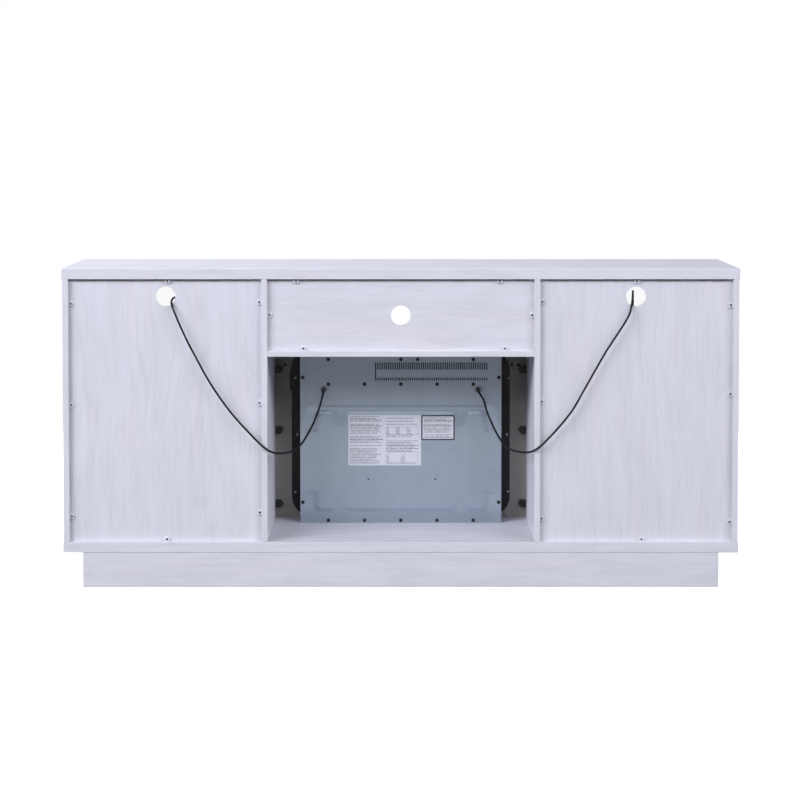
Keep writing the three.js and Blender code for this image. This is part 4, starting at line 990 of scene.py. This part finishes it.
def strain_relief(name, exit_point, material):
    """A collar and a ribbed boot that tapers along the lead."""
    collar_top = COVER_FACE - RELIEF_COLLAR_TOP
    tip = COVER_FACE - RELIEF_END
    profile = [(0, 0), (RELIEF_COLLAR, 0), (RELIEF_COLLAR, 0.7 * collar_top)]
    profile += [(0.93 * RELIEF_COLLAR, collar_top), (RELIEF_ROOT * 1.06, collar_top)]
    ribs = 2 * RELIEF_RIBS
    for i in range(ribs + 1):
        share = i / ribs
        height = collar_top + (tip - collar_top) * (0.06 + 0.9 * share)
        radius = RELIEF_ROOT + (RELIEF_TIP - RELIEF_ROOT) * share
        if i % 2:
            radius *= RELIEF_GROOVE
        profile += [(radius, height - 0.0003), (radius, height + 0.0003)]
    profile += [(0.8 * RELIEF_TIP, tip), (0, tip)]
    bm = lathe(profile, 32)
    place = facing_back(exit_point[0], COVER_FACE, exit_point[2])
    bmesh.ops.transform(bm, matrix=place, verts=bm.verts)
    return finish_piece(name, mesh_from(bm, name), material)


PLUG_TAIL = 0.016
PLUG_BODY = 0.03
PLUG_WIDTH = 0.026
PLUG_GAP = 0.0003
# How far the tail's wall stands off the lead, and how square the body is
PLUG_TAIL_WALL = 0.0013
PLUG_POWER = 3.2
# The plug's outline: shares of the tail's or body's length, width and thickness
PLUG_TAIL_SHAPE = (
    (-0.04, 0.9, 0.9), (0, 1, 1), (0.2, 1.08, 1.08), (0.27, 0.86, 0.86), (0.38, 0.86, 0.86),
    (0.43, 1.18, 1.16), (0.6, 1.26, 1.22), (0.65, 1.02, 1.0), (0.75, 1.04, 1.02),
    (0.8, 1.4, 1.32), (0.97, 1.5, 1.5),
)
PLUG_BODY_SHAPE = (
    (0, 0.58, 0.74), (0.06, 0.74, 0.88), (0.14, 0.86, 0.96), (0.25, 0.93, 1.0), (0.38, 0.9, 0.9),
    (0.44, 0.93, 0.95), (0.5, 0.9, 0.9), (0.56, 0.93, 0.95), (0.62, 0.91, 0.91),
    (0.72, 0.98, 1.0), (0.9, 1.0, 1.0), (0.96, 0.98, 0.98), (1.0, 0.92, 0.9),
)
BLADE_SPACING = 0.0127
BLADE_SIZE = (0.017, 0.0015, 0.0063)
# How far a blade's root runs into the plug, and its hole's and its corners' radius
BLADE_ROOT = 0.001
BLADE_HOLE = 0.0016
BLADE_CORNER = 0.0018


def plug_body(name, end, run, settings, material):
    """A flat moulded plug: a ribbed tail that swells into a waisted body."""
    thick = end.z - SHELF_TOP - PLUG_GAP
    wide = PLUG_WIDTH / 2
    tail = settings.diameter / 2 + PLUG_TAIL_WALL
    stations = [(share * PLUG_TAIL, a * tail, b * tail) for share, a, b in PLUG_TAIL_SHAPE]
    stations += [
        (PLUG_TAIL + share * PLUG_BODY, a * wide, b * thick) for share, a, b in PLUG_BODY_SHAPE
    ]
    profile = [(0, stations[0][0])] + [(a, height) for height, a, b in stations]
    bm = lathe(profile + [(0, stations[-1][0])], 40)
    flatness = {round(height, 6): b / a for height, a, b in stations}
    for vert in bm.verts:
        radius = vert.co.xy.length
        if not radius:
            continue
        x, y = vert.co.xy / radius
        boxed = min(1, max(0, vert.co.z / PLUG_TAIL - 0.5))
        size = (abs(x) ** PLUG_POWER + abs(y) ** PLUG_POWER) ** (1 / PLUG_POWER)
        reach = 1 - boxed + boxed / size
        vert.co.x *= reach
        vert.co.y *= reach * flatness[round(vert.co.z, 6)]
    bmesh.ops.transform(bm, matrix=plug_place(end, run), verts=bm.verts)
    return finish_piece(name, mesh_from(bm, name), material, 40)


def plug_place(end, run):
    """Lays a plug modelled up Z along the lead's last run, with its flat way level."""
    turn = Matrix(((0, 0, run, 0), (1, 0, 0, 0), (0, 1, 0, 0), (0, 0, 0, 1)))
    return Matrix.Translation((end.x + run * PLUG_GAP, end.y, end.z)) @ turn


def plug_blades(name, end, run, material):
    """Two flat blades with rounded ends and a hole in each."""
    long, thick, wide = BLADE_SIZE
    face = PLUG_TAIL + PLUG_BODY - BLADE_ROOT
    blade = bmesh.new()
    add_box(blade, (0, 0, face + (long + BLADE_ROOT) / 2), (thick, wide, long + BLADE_ROOT))
    tips = [
        e for e in edges_along(blade, 0, thick / 2)
        if all(v.co.z > face + long / 2 for v in e.verts)
    ]
    round_edges(blade, tips, BLADE_CORNER, 5)
    hole = bmesh.new()
    turn = Matrix.Rotation(math.pi / 2, 4, "Y")
    bmesh.ops.create_cone(
        hole, cap_ends=True, segments=20, radius1=BLADE_HOLE, radius2=BLADE_HOLE, depth=3 * thick,
        matrix=Matrix.Translation((0, 0, face + 0.72 * long)) @ turn,
    )
    places = [
        plug_place(end, run) @ Matrix.Translation((side * BLADE_SPACING / 2, 0, 0))
        for side in (-1, 1)
    ]
    return finish_piece(name, stamped(name, cut_by(blade, hole), places), material)


class TVSTAND_OT_fit_clips(bpy.types.Operator):
    """Screws the white clips that hold the back panels to the boards round them."""

    bl_idname = "tv_stand.fit_clips"
    bl_label = "Fit Panel Clips"

    def execute(self, context):
        settings = context.scene.stand_fasteners
        white = flat_speckled(
            "clip_plastic", (0.67, 0.675, 0.735), (0.61, 0.615, 0.675), 500.0, 0.4
        )
        dark = coated_steel("dark_screw_steel", (0.016, 0.016, 0.018), 0.4)
        lift = Matrix.Translation((0, clip_screw_spot(settings), 0.62 * settings.clip_height))
        for panel, sides in PANEL_CLIPS.items():
            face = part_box(panel)[0].y
            left, right, top, foot = (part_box(board) for board in PANEL_EDGES[panel])
            edges = {"left": left[1].x, "right": right[0].x, "top": top[0].z, "foot": foot[1].z}
            places = [
                clip_place(side, edges[side], spot, face)
                for side, spots in sides.items() for spot in spots
            ]
            word = panel.replace("_back_panel", "")
            clips = stamped(word + "_panel_clips", clip_block(settings), places)
            finish_piece(word + "_panel_clips", clips, white)
            head = screw_head(settings.clip_screw, 16)
            screws = stamped(word + "_clip_screws", head, [place @ lift for place in places])
            finish_piece(word + "_clip_screws", screws, dark)
        return {"FINISHED"}


def clip_screw_spot(settings):
    return 0.5 * settings.clip_reach


def clip_place(side, edge, along, face):
    """A clip's place: its own Y runs from the board's face inwards and its Z off the panel."""
    turns = {"left": -math.pi / 2, "right": math.pi / 2, "top": math.pi, "foot": 0}
    spot = (edge, face, along) if side in ("left", "right") else (along, face, edge)
    return facing_back(*spot, turns[side])


CLIP_CORNER = 0.003
CLIP_RIM = 0.0009
# The room round the screw in the clip's seat
CLIP_SEAT_GAP = 0.0006


def clip_block(settings):
    """A clip: a rounded block with a sunk seat for its screw."""
    width, reach, height = settings.clip_width, settings.clip_reach, settings.clip_height
    block = bmesh.new()
    add_box(block, (0, reach / 2, height / 2), (width, reach, height))
    corners = [e for e in edges_along(block, 2, height / 2) if e.verts[0].co.y > reach / 2]
    round_edges(block, corners, CLIP_CORNER, 6)
    rim = [
        e for e in block.edges
        if all(v.co.z > height / 2 for v in e.verts) and any(v.co.y > 0.0001 for v in e.verts)
    ]
    round_edges(block, rim, CLIP_RIM, 3)
    seat = bmesh.new()
    radius = settings.clip_screw + CLIP_SEAT_GAP
    bmesh.ops.create_cone(
        seat, cap_ends=True, segments=24, radius1=radius, radius2=1.25 * radius, depth=height,
        matrix=Matrix.Translation((0, clip_screw_spot(settings), 1.1 * height)),
    )
    return cut_by(block, seat)


RIVET_RADIUS = 0.0024
SURROUND_SCREW_RADIUS = 0.0042
# How far each screw's recess is turned from the last one's
SCREW_TURN = 0.7


class TVSTAND_OT_drive_screws(bpy.types.Operator):
    """Drives the screws of the back cover, the flange and the surround."""

    bl_idname = "tv_stand.drive_screws"
    bl_label = "Drive Screws"

    def execute(self, context):
        settings = context.scene.stand_fasteners
        pressed = context.scene.stand_cover
        black = coated_steel("black_screw_steel", (0.012, 0.012, 0.014), 0.42), "black_steel"
        bright = satin_metal("bright_screw_steel", (0.5, 0.5, 0.5), 0.42), "satin_metal"
        for name, spots, face, radius, (material, slot) in (
            ("cover_screws", COVER_SCREWS, COVER_FACE, settings.cover_screw, black),
            ("cover_rivets", COVER_RIVETS, COVER_FACE, RIVET_RADIUS, black),
            ("flange_screws", FLANGE_SCREWS, FLANGE_FACE, settings.flange_screw, bright),
            ("surround_screws", SURROUND_SCREWS, SURROUND_FACE, SURROUND_SCREW_RADIUS, black),
            ("foot_screw", FOOT_SCREWS, SURROUND_FACE, SURROUND_SCREW_RADIUS, bright),
        ):
            sunk = pressed.press_depth if name.startswith("cover_") else 0
            places = [
                facing_back(x, face + sunk * sunk_share(x, z, pressed), z, SCREW_TURN * number)
                for number, (x, z) in enumerate(spots)
            ]
            finish_piece(name, stamped(name, screw_head(radius), places), material)
        return {"FINISHED"}


# The stickers on the cover's middle pillow: left, right, foot and head, then how many columns
# of lines, their margin and pitch, and whether the paper has a black border in place of frames
STICKERS = {
    "wide_sticker": ((-0.1447, 0.0557, 0.2794, 0.4194), 2, 0.004, 0.0042, False),
    "small_sticker": ((0.0568, 0.1485, 0.3494, 0.4186), 1, 0.0065, 0.0036, True),
}
STICKER_PAPER = (0.69, 0.7, 0.76, 1)
FAINT_INK = (0.26, 0.26, 0.3, 1)
BOLD_INK = (0.06, 0.06, 0.075, 1)
BORDER_INK = (0.012, 0.012, 0.016, 1)
STICKER_THICKNESS = 0.0003
STICKER_CORNER = 0.003
# The black border's width, and the width of the frames' lines
STICKER_BORDER = 0.0034
FRAME_LINE = 0.0008
# Empty frames on the wide sticker: left and right in columns, then foot and head from its top
STICKER_FRAMES = (
    (1.1, 1.32, 0.055, 0.033), (1.4, 1.62, 0.055, 0.033), (1.7, 1.92, 0.055, 0.033),
    (1.1, 1.46, 0.132, 0.102), (1.54, 1.92, 0.132, 0.102),
)


class TVSTAND_OT_stick_labels(bpy.types.Operator):
    """Sticks the plain ruled stickers on the back cover."""

    bl_idname = "tv_stand.stick_labels"
    bl_label = "Stick Stickers"

    def execute(self, context):
        for name, (edges, *ruling) in STICKERS.items():
            left, right, foot, head = edges
            bm = bmesh.new()
            middle = ((left + right) / 2, COVER_FACE - STICKER_THICKNESS / 2, (foot + head) / 2)
            add_box(bm, middle, (right - left, STICKER_THICKNESS, head - foot))
            round_edges(bm, edges_along(bm, 1), STICKER_CORNER, 6)
            material = ruled_paper(name + "_print", edges, *ruling)
            finish_piece(name, mesh_from(bm, name), material)
        return {"FINISHED"}


def above(tree, value, limit):
    return maths(tree, "GREATER_THAN", value, limit)


def below(tree, value, limit):
    return maths(tree, "LESS_THAN", value, limit)


def in_box(tree, x, z, edges, inset=0.0):
    """1 inside a box's edges, given as left, right, foot and head, and 0 outside them."""
    left, right, foot, head = edges
    return product(
        tree, above(tree, x, left + inset), below(tree, x, right - inset),
        above(tree, z, foot + inset), below(tree, z, head - inset),
    )


def ruled_paper(name, edges, columns, margin, pitch, bordered):
    """White sticker paper with rules of uneven length: in columns with frames, or in a border."""
    left, right, foot, head = edges
    material, tree, shader = new_material(name, Roughness=0.4)
    place = object_place(tree)
    axes = node(tree, "SeparateXYZ", {0: place}).outputs
    x, z = axes["X"], axes["Z"]
    width = (right - left) / columns
    across = maths(tree, "DIVIDE", less(tree, x, left), width)
    inside = maths(tree, "FRACT", across)
    down = maths(tree, "DIVIDE", less(tree, head - margin, z), pitch)
    # Each line of each column draws its own length from this key
    key = weighted(tree, (maths(tree, "FLOOR", down), 1.0), (maths(tree, "FLOOR", across), 97.0))
    chance = node(tree, "TexWhiteNoise", {"W": key}, noise_dimensions="1D").outputs["Value"]
    reach = maths(tree, "ADD", product(tree, chance, 0.26), 0.7)
    words = speckle(tree, place, (620, 1, 90), 1.0)
    line = product(
        tree, below(tree, maths(tree, "FRACT", down), 0.5), above(tree, inside, margin / width),
        below(tree, inside, reach), in_box(tree, x, z, edges, margin), above(tree, chance, 0.12),
        span(tree, words, 0.36, 0.5),
    )
    for start, end, foot_drop, head_drop in () if bordered else STICKER_FRAMES:
        frame_edges = (left + start * width, left + end * width, head - foot_drop, head - head_drop)
        whole = in_box(tree, x, z, frame_edges)
        inner = in_box(tree, x, z, frame_edges, FRAME_LINE)
        line = product(tree, line, less(tree, 1.0, whole))
        line = maths(tree, "MAXIMUM", line, less(tree, whole, inner))
    ink = mix_colours(tree, above(tree, chance, 0.84), FAINT_INK, BOLD_INK)
    colour = mix_colours(tree, line, STICKER_PAPER, ink)
    if bordered:
        colour = mix_colours(tree, in_box(tree, x, z, edges, STICKER_BORDER), BORDER_INK, colour)
    feed(tree, shader, Base_Color=colour)
    raise_bump(tree, shader, speckle(tree, place, 1200.0), 0.05, 0.00005)
    return material


PIN_DEPTHS = (-0.125, 0.105)
PIN_REACH = 0.009
# The gap between a shelf and its pins
PIN_GAP = 0.0001


class TVSTAND_OT_fit_shelf_pins(bpy.types.Operator):
    """Pushes the shelf pins into their holes."""

    bl_idname = "tv_stand.fit_shelf_pins"
    bl_label = "Fit Shelf Pins"

    def execute(self, context):
        radius = context.scene.stand_fasteners.pin_radius
        metal = satin_metal("pin_metal", (0.68, 0.68, 0.7), 0.3)
        for word in ("left", "right"):
            walls = sorted(
                (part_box(word + "_side_panel"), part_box(word + "_divider")),
                key=lambda pair: pair[0].x,
            )
            spots = ((walls[0][1].x, 1), (walls[1][0].x, -1))
            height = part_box(word + "_shelf")[0].z - PIN_GAP - radius
            places = [
                Matrix.Translation((x, y, height)) @ Matrix.Rotation(heading * math.pi / 2, 4, "Y")
                for x, heading in spots for y in PIN_DEPTHS
            ]
            name = word + "_shelf_pins"
            finish_piece(name, stamped(name, shelf_pin(radius), places), metal)
        return {"FINISHED"}


def shelf_pin(radius):
    """A turned pin, its root in the board and its end rounded."""
    profile = [
        (0, -0.006), (0.8 * radius, -0.006), (0.98 * radius, -0.0055), (0.98 * radius, 0),
        (radius, 0.0002), (radius, PIN_REACH - 0.0006), (0.8 * radius, PIN_REACH), (0, PIN_REACH),
    ]
    return lathe(profile, 20)


LOG_RADIUS = 0.011
LOG_SPAN = 0.33
# The gap between the bed's top and the logs
LOG_GAP = 0.0003
# Each log's two ends, as shares of half the span and of the log's radius, and its girth
LOG_SHARES = (
    (-1, -0.5, 0.5, 0.98, -0.55, 0.75, 1), (-0.9, 0.5, 0.55, 0.85, 0.5, 0.4, 0.95),
    (-0.62, 0.6, 0.8, 0.2, -0.2, 3.1, 0.8), (0.7, 0.55, 0.9, -0.12, -0.3, 3.3, 0.85),
    (-0.28, -0.1, 2.1, 0.5, 0.1, 2.6, 0.72),
)


class TVSTAND_OT_build_fire(bpy.types.Operator):
    """Heaps the embers and stacks the barked logs over them."""

    bl_idname = "tv_stand.build_fire"
    bl_label = "Build Fire"

    def execute(self, context):
        settings = context.scene.stand_fire
        low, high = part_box("ember_bed")
        mesh = mesh_from(ember_heap(low, high), "ember_heap")
        heap = finish_piece("ember_heap", mesh, ember("ember_resin_finish"))
        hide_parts("ember_bed")
        middle = (low.y + high.y) / 2
        foot = high.z + LOG_GAP
        pile = bmesh.new()
        for number, (xa, ya, za, xb, yb, zb, girth) in enumerate(LOG_SHARES):
            start = Vector((xa * LOG_SPAN / 2, middle + ya * LOG_RADIUS, foot + za * LOG_RADIUS))
            end = Vector((xb * LOG_SPAN / 2, middle + yb * LOG_RADIUS, foot + zb * LOG_RADIUS))
            add_log(pile, start, end, LOG_RADIUS * girth, number, settings)
        for vert in pile.verts:
            vert.co.z = max(vert.co.z, foot)
        mesh = mesh_from(pile, "stacked_logs")
        logs = finish_piece("stacked_logs", mesh, bark("log_bark"), 80)
        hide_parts("log_set")
        coals = loose_embers(settings, low, high)
        finish_piece("loose_embers", coals, ember("loose_ember_finish"), 30)
        return {"FINISHED"}


HEAP_COLUMNS = 240
HEAP_ROWS = 20
# The mounds' fineness and height, coarse and fine, how far the heap falls towards the glass
# and the most it may sink
HEAP_LUMPS = ((70, 0.006), (190, 0.002))
HEAP_FALL = 0.004
HEAP_DEPTH = 0.01


def ember_heap(low, high):
    """The moulded bed: a block whose top is rolled into mounds."""
    bm = bmesh.new()
    size = high - low
    bmesh.ops.create_grid(bm, x_segments=HEAP_COLUMNS, y_segments=HEAP_ROWS, size=0.5)
    bmesh.ops.transform(bm, matrix=Matrix.Diagonal((size.x, size.y, 1, 1)), verts=bm.verts)
    rim = [e for e in bm.edges if e.is_boundary]
    down = bmesh.ops.extrude_edge_only(bm, edges=rim)["geom"]
    skirt = [v for v in down if isinstance(v, bmesh.types.BMVert)]
    top = [v for v in bm.verts if v not in set(skirt)]
    bmesh.ops.translate(bm, vec=(0, 0, -0.6 * size.z), verts=skirt)
    bmesh.ops.contextual_create(bm, geom=[e for e in bm.edges if e.is_boundary])
    middle = Vector(((low.x + high.x) / 2, (low.y + high.y) / 2, high.z))
    bmesh.ops.translate(bm, vec=middle, verts=bm.verts)
    for vert in skirt:
        vert.co.z = low.z
    for vert in top:
        lump = sum(abs(noise.noise(vert.co * fine)) * height for fine, height in HEAP_LUMPS)
        fall = HEAP_FALL * (1 - math.sin(math.pi / 2 * (vert.co.y - low.y) / size.y))
        vert.co.z -= min(HEAP_DEPTH, lump + fall)
    return bm


def add_log(pile, start, end, radius, seed, settings):
    """One log with a bowed, knotty trunk, furrowed bark and sawn ends."""
    length = (end - start).length
    rings = settings.log_rings
    profile = [(0, 0)] + [(radius, length * i / rings) for i in range(rings + 1)] + [(0, length)]
    log = lathe(profile, settings.log_sides)
    turn = (end - start).to_track_quat("Z", "Y").to_matrix().to_4x4()
    for vert in log.verts:
        share = vert.co.z / length
        around = math.atan2(vert.co.y, vert.co.x)
        knot = 1 + 0.12 * math.sin(7 * share * math.pi + seed) - 0.25 * (2 * share - 1) ** 6
        if vert.co.xy.length > 0.5 * radius:
            x, y = math.cos(around), math.sin(around)
            furrow = noise.noise((2.6 * x, 2.6 * y, share * 6 + 9 * seed))
            crack = noise.noise((7 * x, 7 * y, share * 14 + 5 * seed))
            depth = settings.bark_depth * (0.7 * abs(furrow) + 0.6 * abs(crack))
            vert.co.xy *= knot - depth / radius
        else:
            vert.co.z += 0.0006 * math.sin(40 * vert.co.x / radius)
        vert.co.y += radius * 0.15 * math.sin(2 * math.pi * share + seed)
    bmesh.ops.transform(log, matrix=Matrix.Translation(start) @ turn, verts=log.verts)
    sample = plain_mesh(log, "log_pattern")
    pile.from_mesh(sample)
    bpy.data.meshes.remove(sample)


EMBER_SEED = 7


def loose_embers(settings, low, high):
    """Small angular coals strewn over the bed, in front of the logs and behind them."""
    pattern = bmesh.new()
    bmesh.ops.create_icosphere(pattern, subdivisions=2, radius=1)
    for vert in pattern.verts:
        vert.co *= 0.82 + 0.5 * noise.noise(vert.co * 1.7)
    places = []
    chance = random.Random(EMBER_SEED)
    for _ in range(settings.ember_count):
        draw = [chance.random() for _ in range(7)]
        x = low.x + (high.x - low.x) * (0.015 + 0.97 * draw[0])
        y = low.y + (high.y - low.y) * (0.14 + 0.72 * draw[1])
        size = settings.ember_size * (0.45 + 0.75 * draw[2] ** 2)
        z = high.z - 0.006 + 0.25 * size
        spin = Matrix.Rotation(6.28 * draw[3], 4, "Z") @ Matrix.Rotation(3.1 * draw[4], 4, "X")
        wide, high_share = 0.6 + 0.4 * draw[5], 0.55 + 0.4 * draw[6]
        shape = Matrix.Diagonal((size, size * wide, size * high_share, 1))
        places.append(Matrix.Translation((x, y, z)) @ spin @ shape)
    return stamped("loose_embers", pattern, places)


COOL_WHITE = (0.9, 0.91, 1.0)
WINDOW_WHITE = (0.95, 0.955, 1.0)
# Each lamp: its place, its width and height in metres, its power in watts and its colour
LAMPS = (
    ("left_softbox", (-6.0, -5.4, 4.5), 6.5, 2.4, 832, COOL_WHITE),
    ("right_softbox", (6.0, -5.4, 4.5), 6.5, 2.4, 528, COOL_WHITE),
    ("middle_softbox", (0, -6.2, 4.9), 5.0, 1.5, 52, COOL_WHITE),
    ("strip_softbox", (0, -7.0, 3.6), 6.0, 0.4, 32, COOL_WHITE),
    ("top_softbox", (0, 0.8, 5.2), 3.0, 2.0, 69, COOL_WHITE),
    ("top_left_softbox", (-1.4, 0.6, 2.6), 1.2, 1.2, 23, COOL_WHITE),
    ("front_left_softbox", (-3.5, 5.0, 0.42), 3.0, 0.72, 160, WINDOW_WHITE),
    ("front_right_softbox", (3.5, 5.0, 0.42), 3.0, 0.72, 160, WINDOW_WHITE),
)
# The spot every lamp faces, and how far the camera sees
AIM = Vector((0, 0, 0.45))
SIGHT = 60
SENSOR_WIDTH = 36
SIDE_SHIFT = -0.001
FLOOR_HALF = 2.6
# How far the floor lies under the stand
FLOOR_DROP = 0.0005
# How bright the floor looks in what reflects it: near the stand, further behind it and at its
# far edge, and the Y between which it changes
NEAR_SHEEN = 0.2
MIDDLE_SHEEN = 1.85
FAR_SHEEN = 0.9
NEAR_CHANGE = (-1.15, -0.7)
FAR_CHANGE = (-2.4, -1.4)
# The dim fill's colour and strength
FILL_COLOUR = (1.0, 0.97, 0.9, 1)
FILL_STRENGTH = 0.06


class TVSTAND_OT_set_stage(bpy.types.Operator):
    """Sets the camera, the lamps, the floor and the world round the stand."""

    bl_idname = "tv_stand.set_stage"
    bl_label = "Set Stage"

    def execute(self, context):
        settings = context.scene.stand_stage
        camera = linked("stand_camera", bpy.data.cameras.new("stand_camera"))
        camera.location = (0, -settings.eye_distance, settings.eye_height)
        camera.rotation_euler = (math.pi / 2 - settings.tilt, 0, 0)
        camera.data.sensor_width = SENSOR_WIDTH
        camera.data.lens = settings.lens
        camera.data.shift_x = SIDE_SHIFT
        camera.data.shift_y = settings.shift
        camera.data.clip_end = SIGHT
        context.scene.camera = camera
        for lamp in LAMPS:
            set_lamp(*lamp)
        lay_floor()
        set_world(context, settings)
        context.scene.view_settings.view_transform = "Standard"
        return {"FINISHED"}


def set_lamp(name, place, width, height, power, colour):
    """A softbox that faces the stand."""
    data = bpy.data.lights.new(name, "AREA")
    data.shape = "RECTANGLE"
    data.size = width
    data.size_y = height
    data.energy = power
    data.color = colour
    lamp = linked(name, data)
    lamp.location = place
    lamp.rotation_euler = (AIM - Vector(place)).to_track_quat("-Z", "Y").to_euler()
    lamp.visible_camera = False


def lay_floor():
    """A pale floor that reads white round the stand, and reflects as bright as its sheen."""
    bm = bmesh.new()
    bmesh.ops.create_grid(bm, x_segments=1, y_segments=1, size=FLOOR_HALF)
    mesh = mesh_from(bm, "studio_floor")
    floor = linked("studio_floor", mesh)
    material, tree, shader = new_material(
        "floor_paint", Base_Color=(0.9, 0.9, 0.9, 1), Roughness=0.9, Specular_IOR_Level=0.1,
        Emission_Color=(1, 1, 1, 1), Emission_Strength=0.8,
    )
    path = node(tree, "LightPath").outputs
    mirrored = maths(
        tree, "SUBTRACT", path["Is Glossy Ray"], path["Is Transmission Ray"], clamp=True
    )
    depth = node(tree, "SeparateXYZ", {0: object_place(tree)}).outputs["Y"]
    strength = maths(
        tree, "MINIMUM", span(tree, depth, *FAR_CHANGE, FAR_SHEEN, MIDDLE_SHEEN),
        span(tree, depth, *NEAR_CHANGE, MIDDLE_SHEEN, NEAR_SHEEN),
    )
    sheen = node(tree, "Emission", {"Strength": strength})
    mixed = node(tree, "MixShader", {0: mirrored, 1: shader.outputs[0], 2: sheen.outputs[0]})
    tree.links.new(mixed.outputs[0], tree.nodes["Material Output"].inputs["Surface"])
    mesh.materials.append(material)
    floor.location.z = -FLOOR_DROP
    floor.visible_diffuse = False


def set_world(context, settings):
    """A white backdrop for the camera and through glass, and a dim fill for everything else."""
    world = bpy.data.worlds.new("studio_world")
    world.use_nodes = True
    tree = world.node_tree
    tree.nodes.clear()
    path = node(tree, "LightPath").outputs
    seen = maths(tree, "MAXIMUM", path["Is Camera Ray"], path["Is Transmission Ray"])
    bright = node(tree, "Background", {"Color": rgba(settings.backdrop), "Strength": 1.0})
    dim = node(tree, "Background", {"Color": FILL_COLOUR, "Strength": FILL_STRENGTH})
    mixed = node(tree, "MixShader", {0: seen, 1: dim.outputs[0], 2: bright.outputs[0]})
    node(tree, "OutputWorld", {"Surface": mixed.outputs[0]})
    context.scene.world = world


STEPS = (
    TVSTAND_OT_finish_boards, TVSTAND_OT_finish_firebox, TVSTAND_OT_press_cover,
    TVSTAND_OT_finish_doors, TVSTAND_OT_lay_leads, TVSTAND_OT_fit_clips,
    TVSTAND_OT_drive_screws, TVSTAND_OT_stick_labels, TVSTAND_OT_fit_shelf_pins,
    TVSTAND_OT_build_fire, TVSTAND_OT_set_stage,
)


class TVSTAND_PT_steps(bpy.types.Panel):
    """The steps that dress the stand, and the sizes they use."""

    bl_idname = "TVSTAND_PT_steps"
    bl_label = "Fireplace TV Stand"
    bl_space_type = "VIEW_3D"
    bl_region_type = "UI"
    bl_category = "TV Stand"

    def draw(self, context):
        for step in STEPS:
            self.layout.operator(step.bl_idname)
        for name in SETTINGS:
            box = self.layout.box()
            group = getattr(context.scene, name)
            for key in group.__annotations__:
                box.prop(group, key)


def register():
    for name, group in SETTINGS.items():
        bpy.utils.register_class(group)
        setattr(bpy.types.Scene, name, PointerProperty(type=group))
    for step in (*STEPS, TVSTAND_PT_steps):
        bpy.utils.register_class(step)


def unregister():
    for step in reversed((*STEPS, TVSTAND_PT_steps)):
        bpy.utils.unregister_class(step)
    for name, group in SETTINGS.items():
        delattr(bpy.types.Scene, name)
        bpy.utils.unregister_class(group)


def main():
    register()
    bpy.ops.tv_stand.finish_boards()
    bpy.ops.tv_stand.finish_firebox()
    bpy.ops.tv_stand.press_cover()
    bpy.ops.tv_stand.finish_doors()
    bpy.ops.tv_stand.lay_leads()
    bpy.ops.tv_stand.fit_clips()
    bpy.ops.tv_stand.drive_screws()
    bpy.ops.tv_stand.stick_labels()
    bpy.ops.tv_stand.fit_shelf_pins()
    bpy.ops.tv_stand.build_fire()
    bpy.ops.tv_stand.set_stage()


if __name__ == "__main__":
    main()
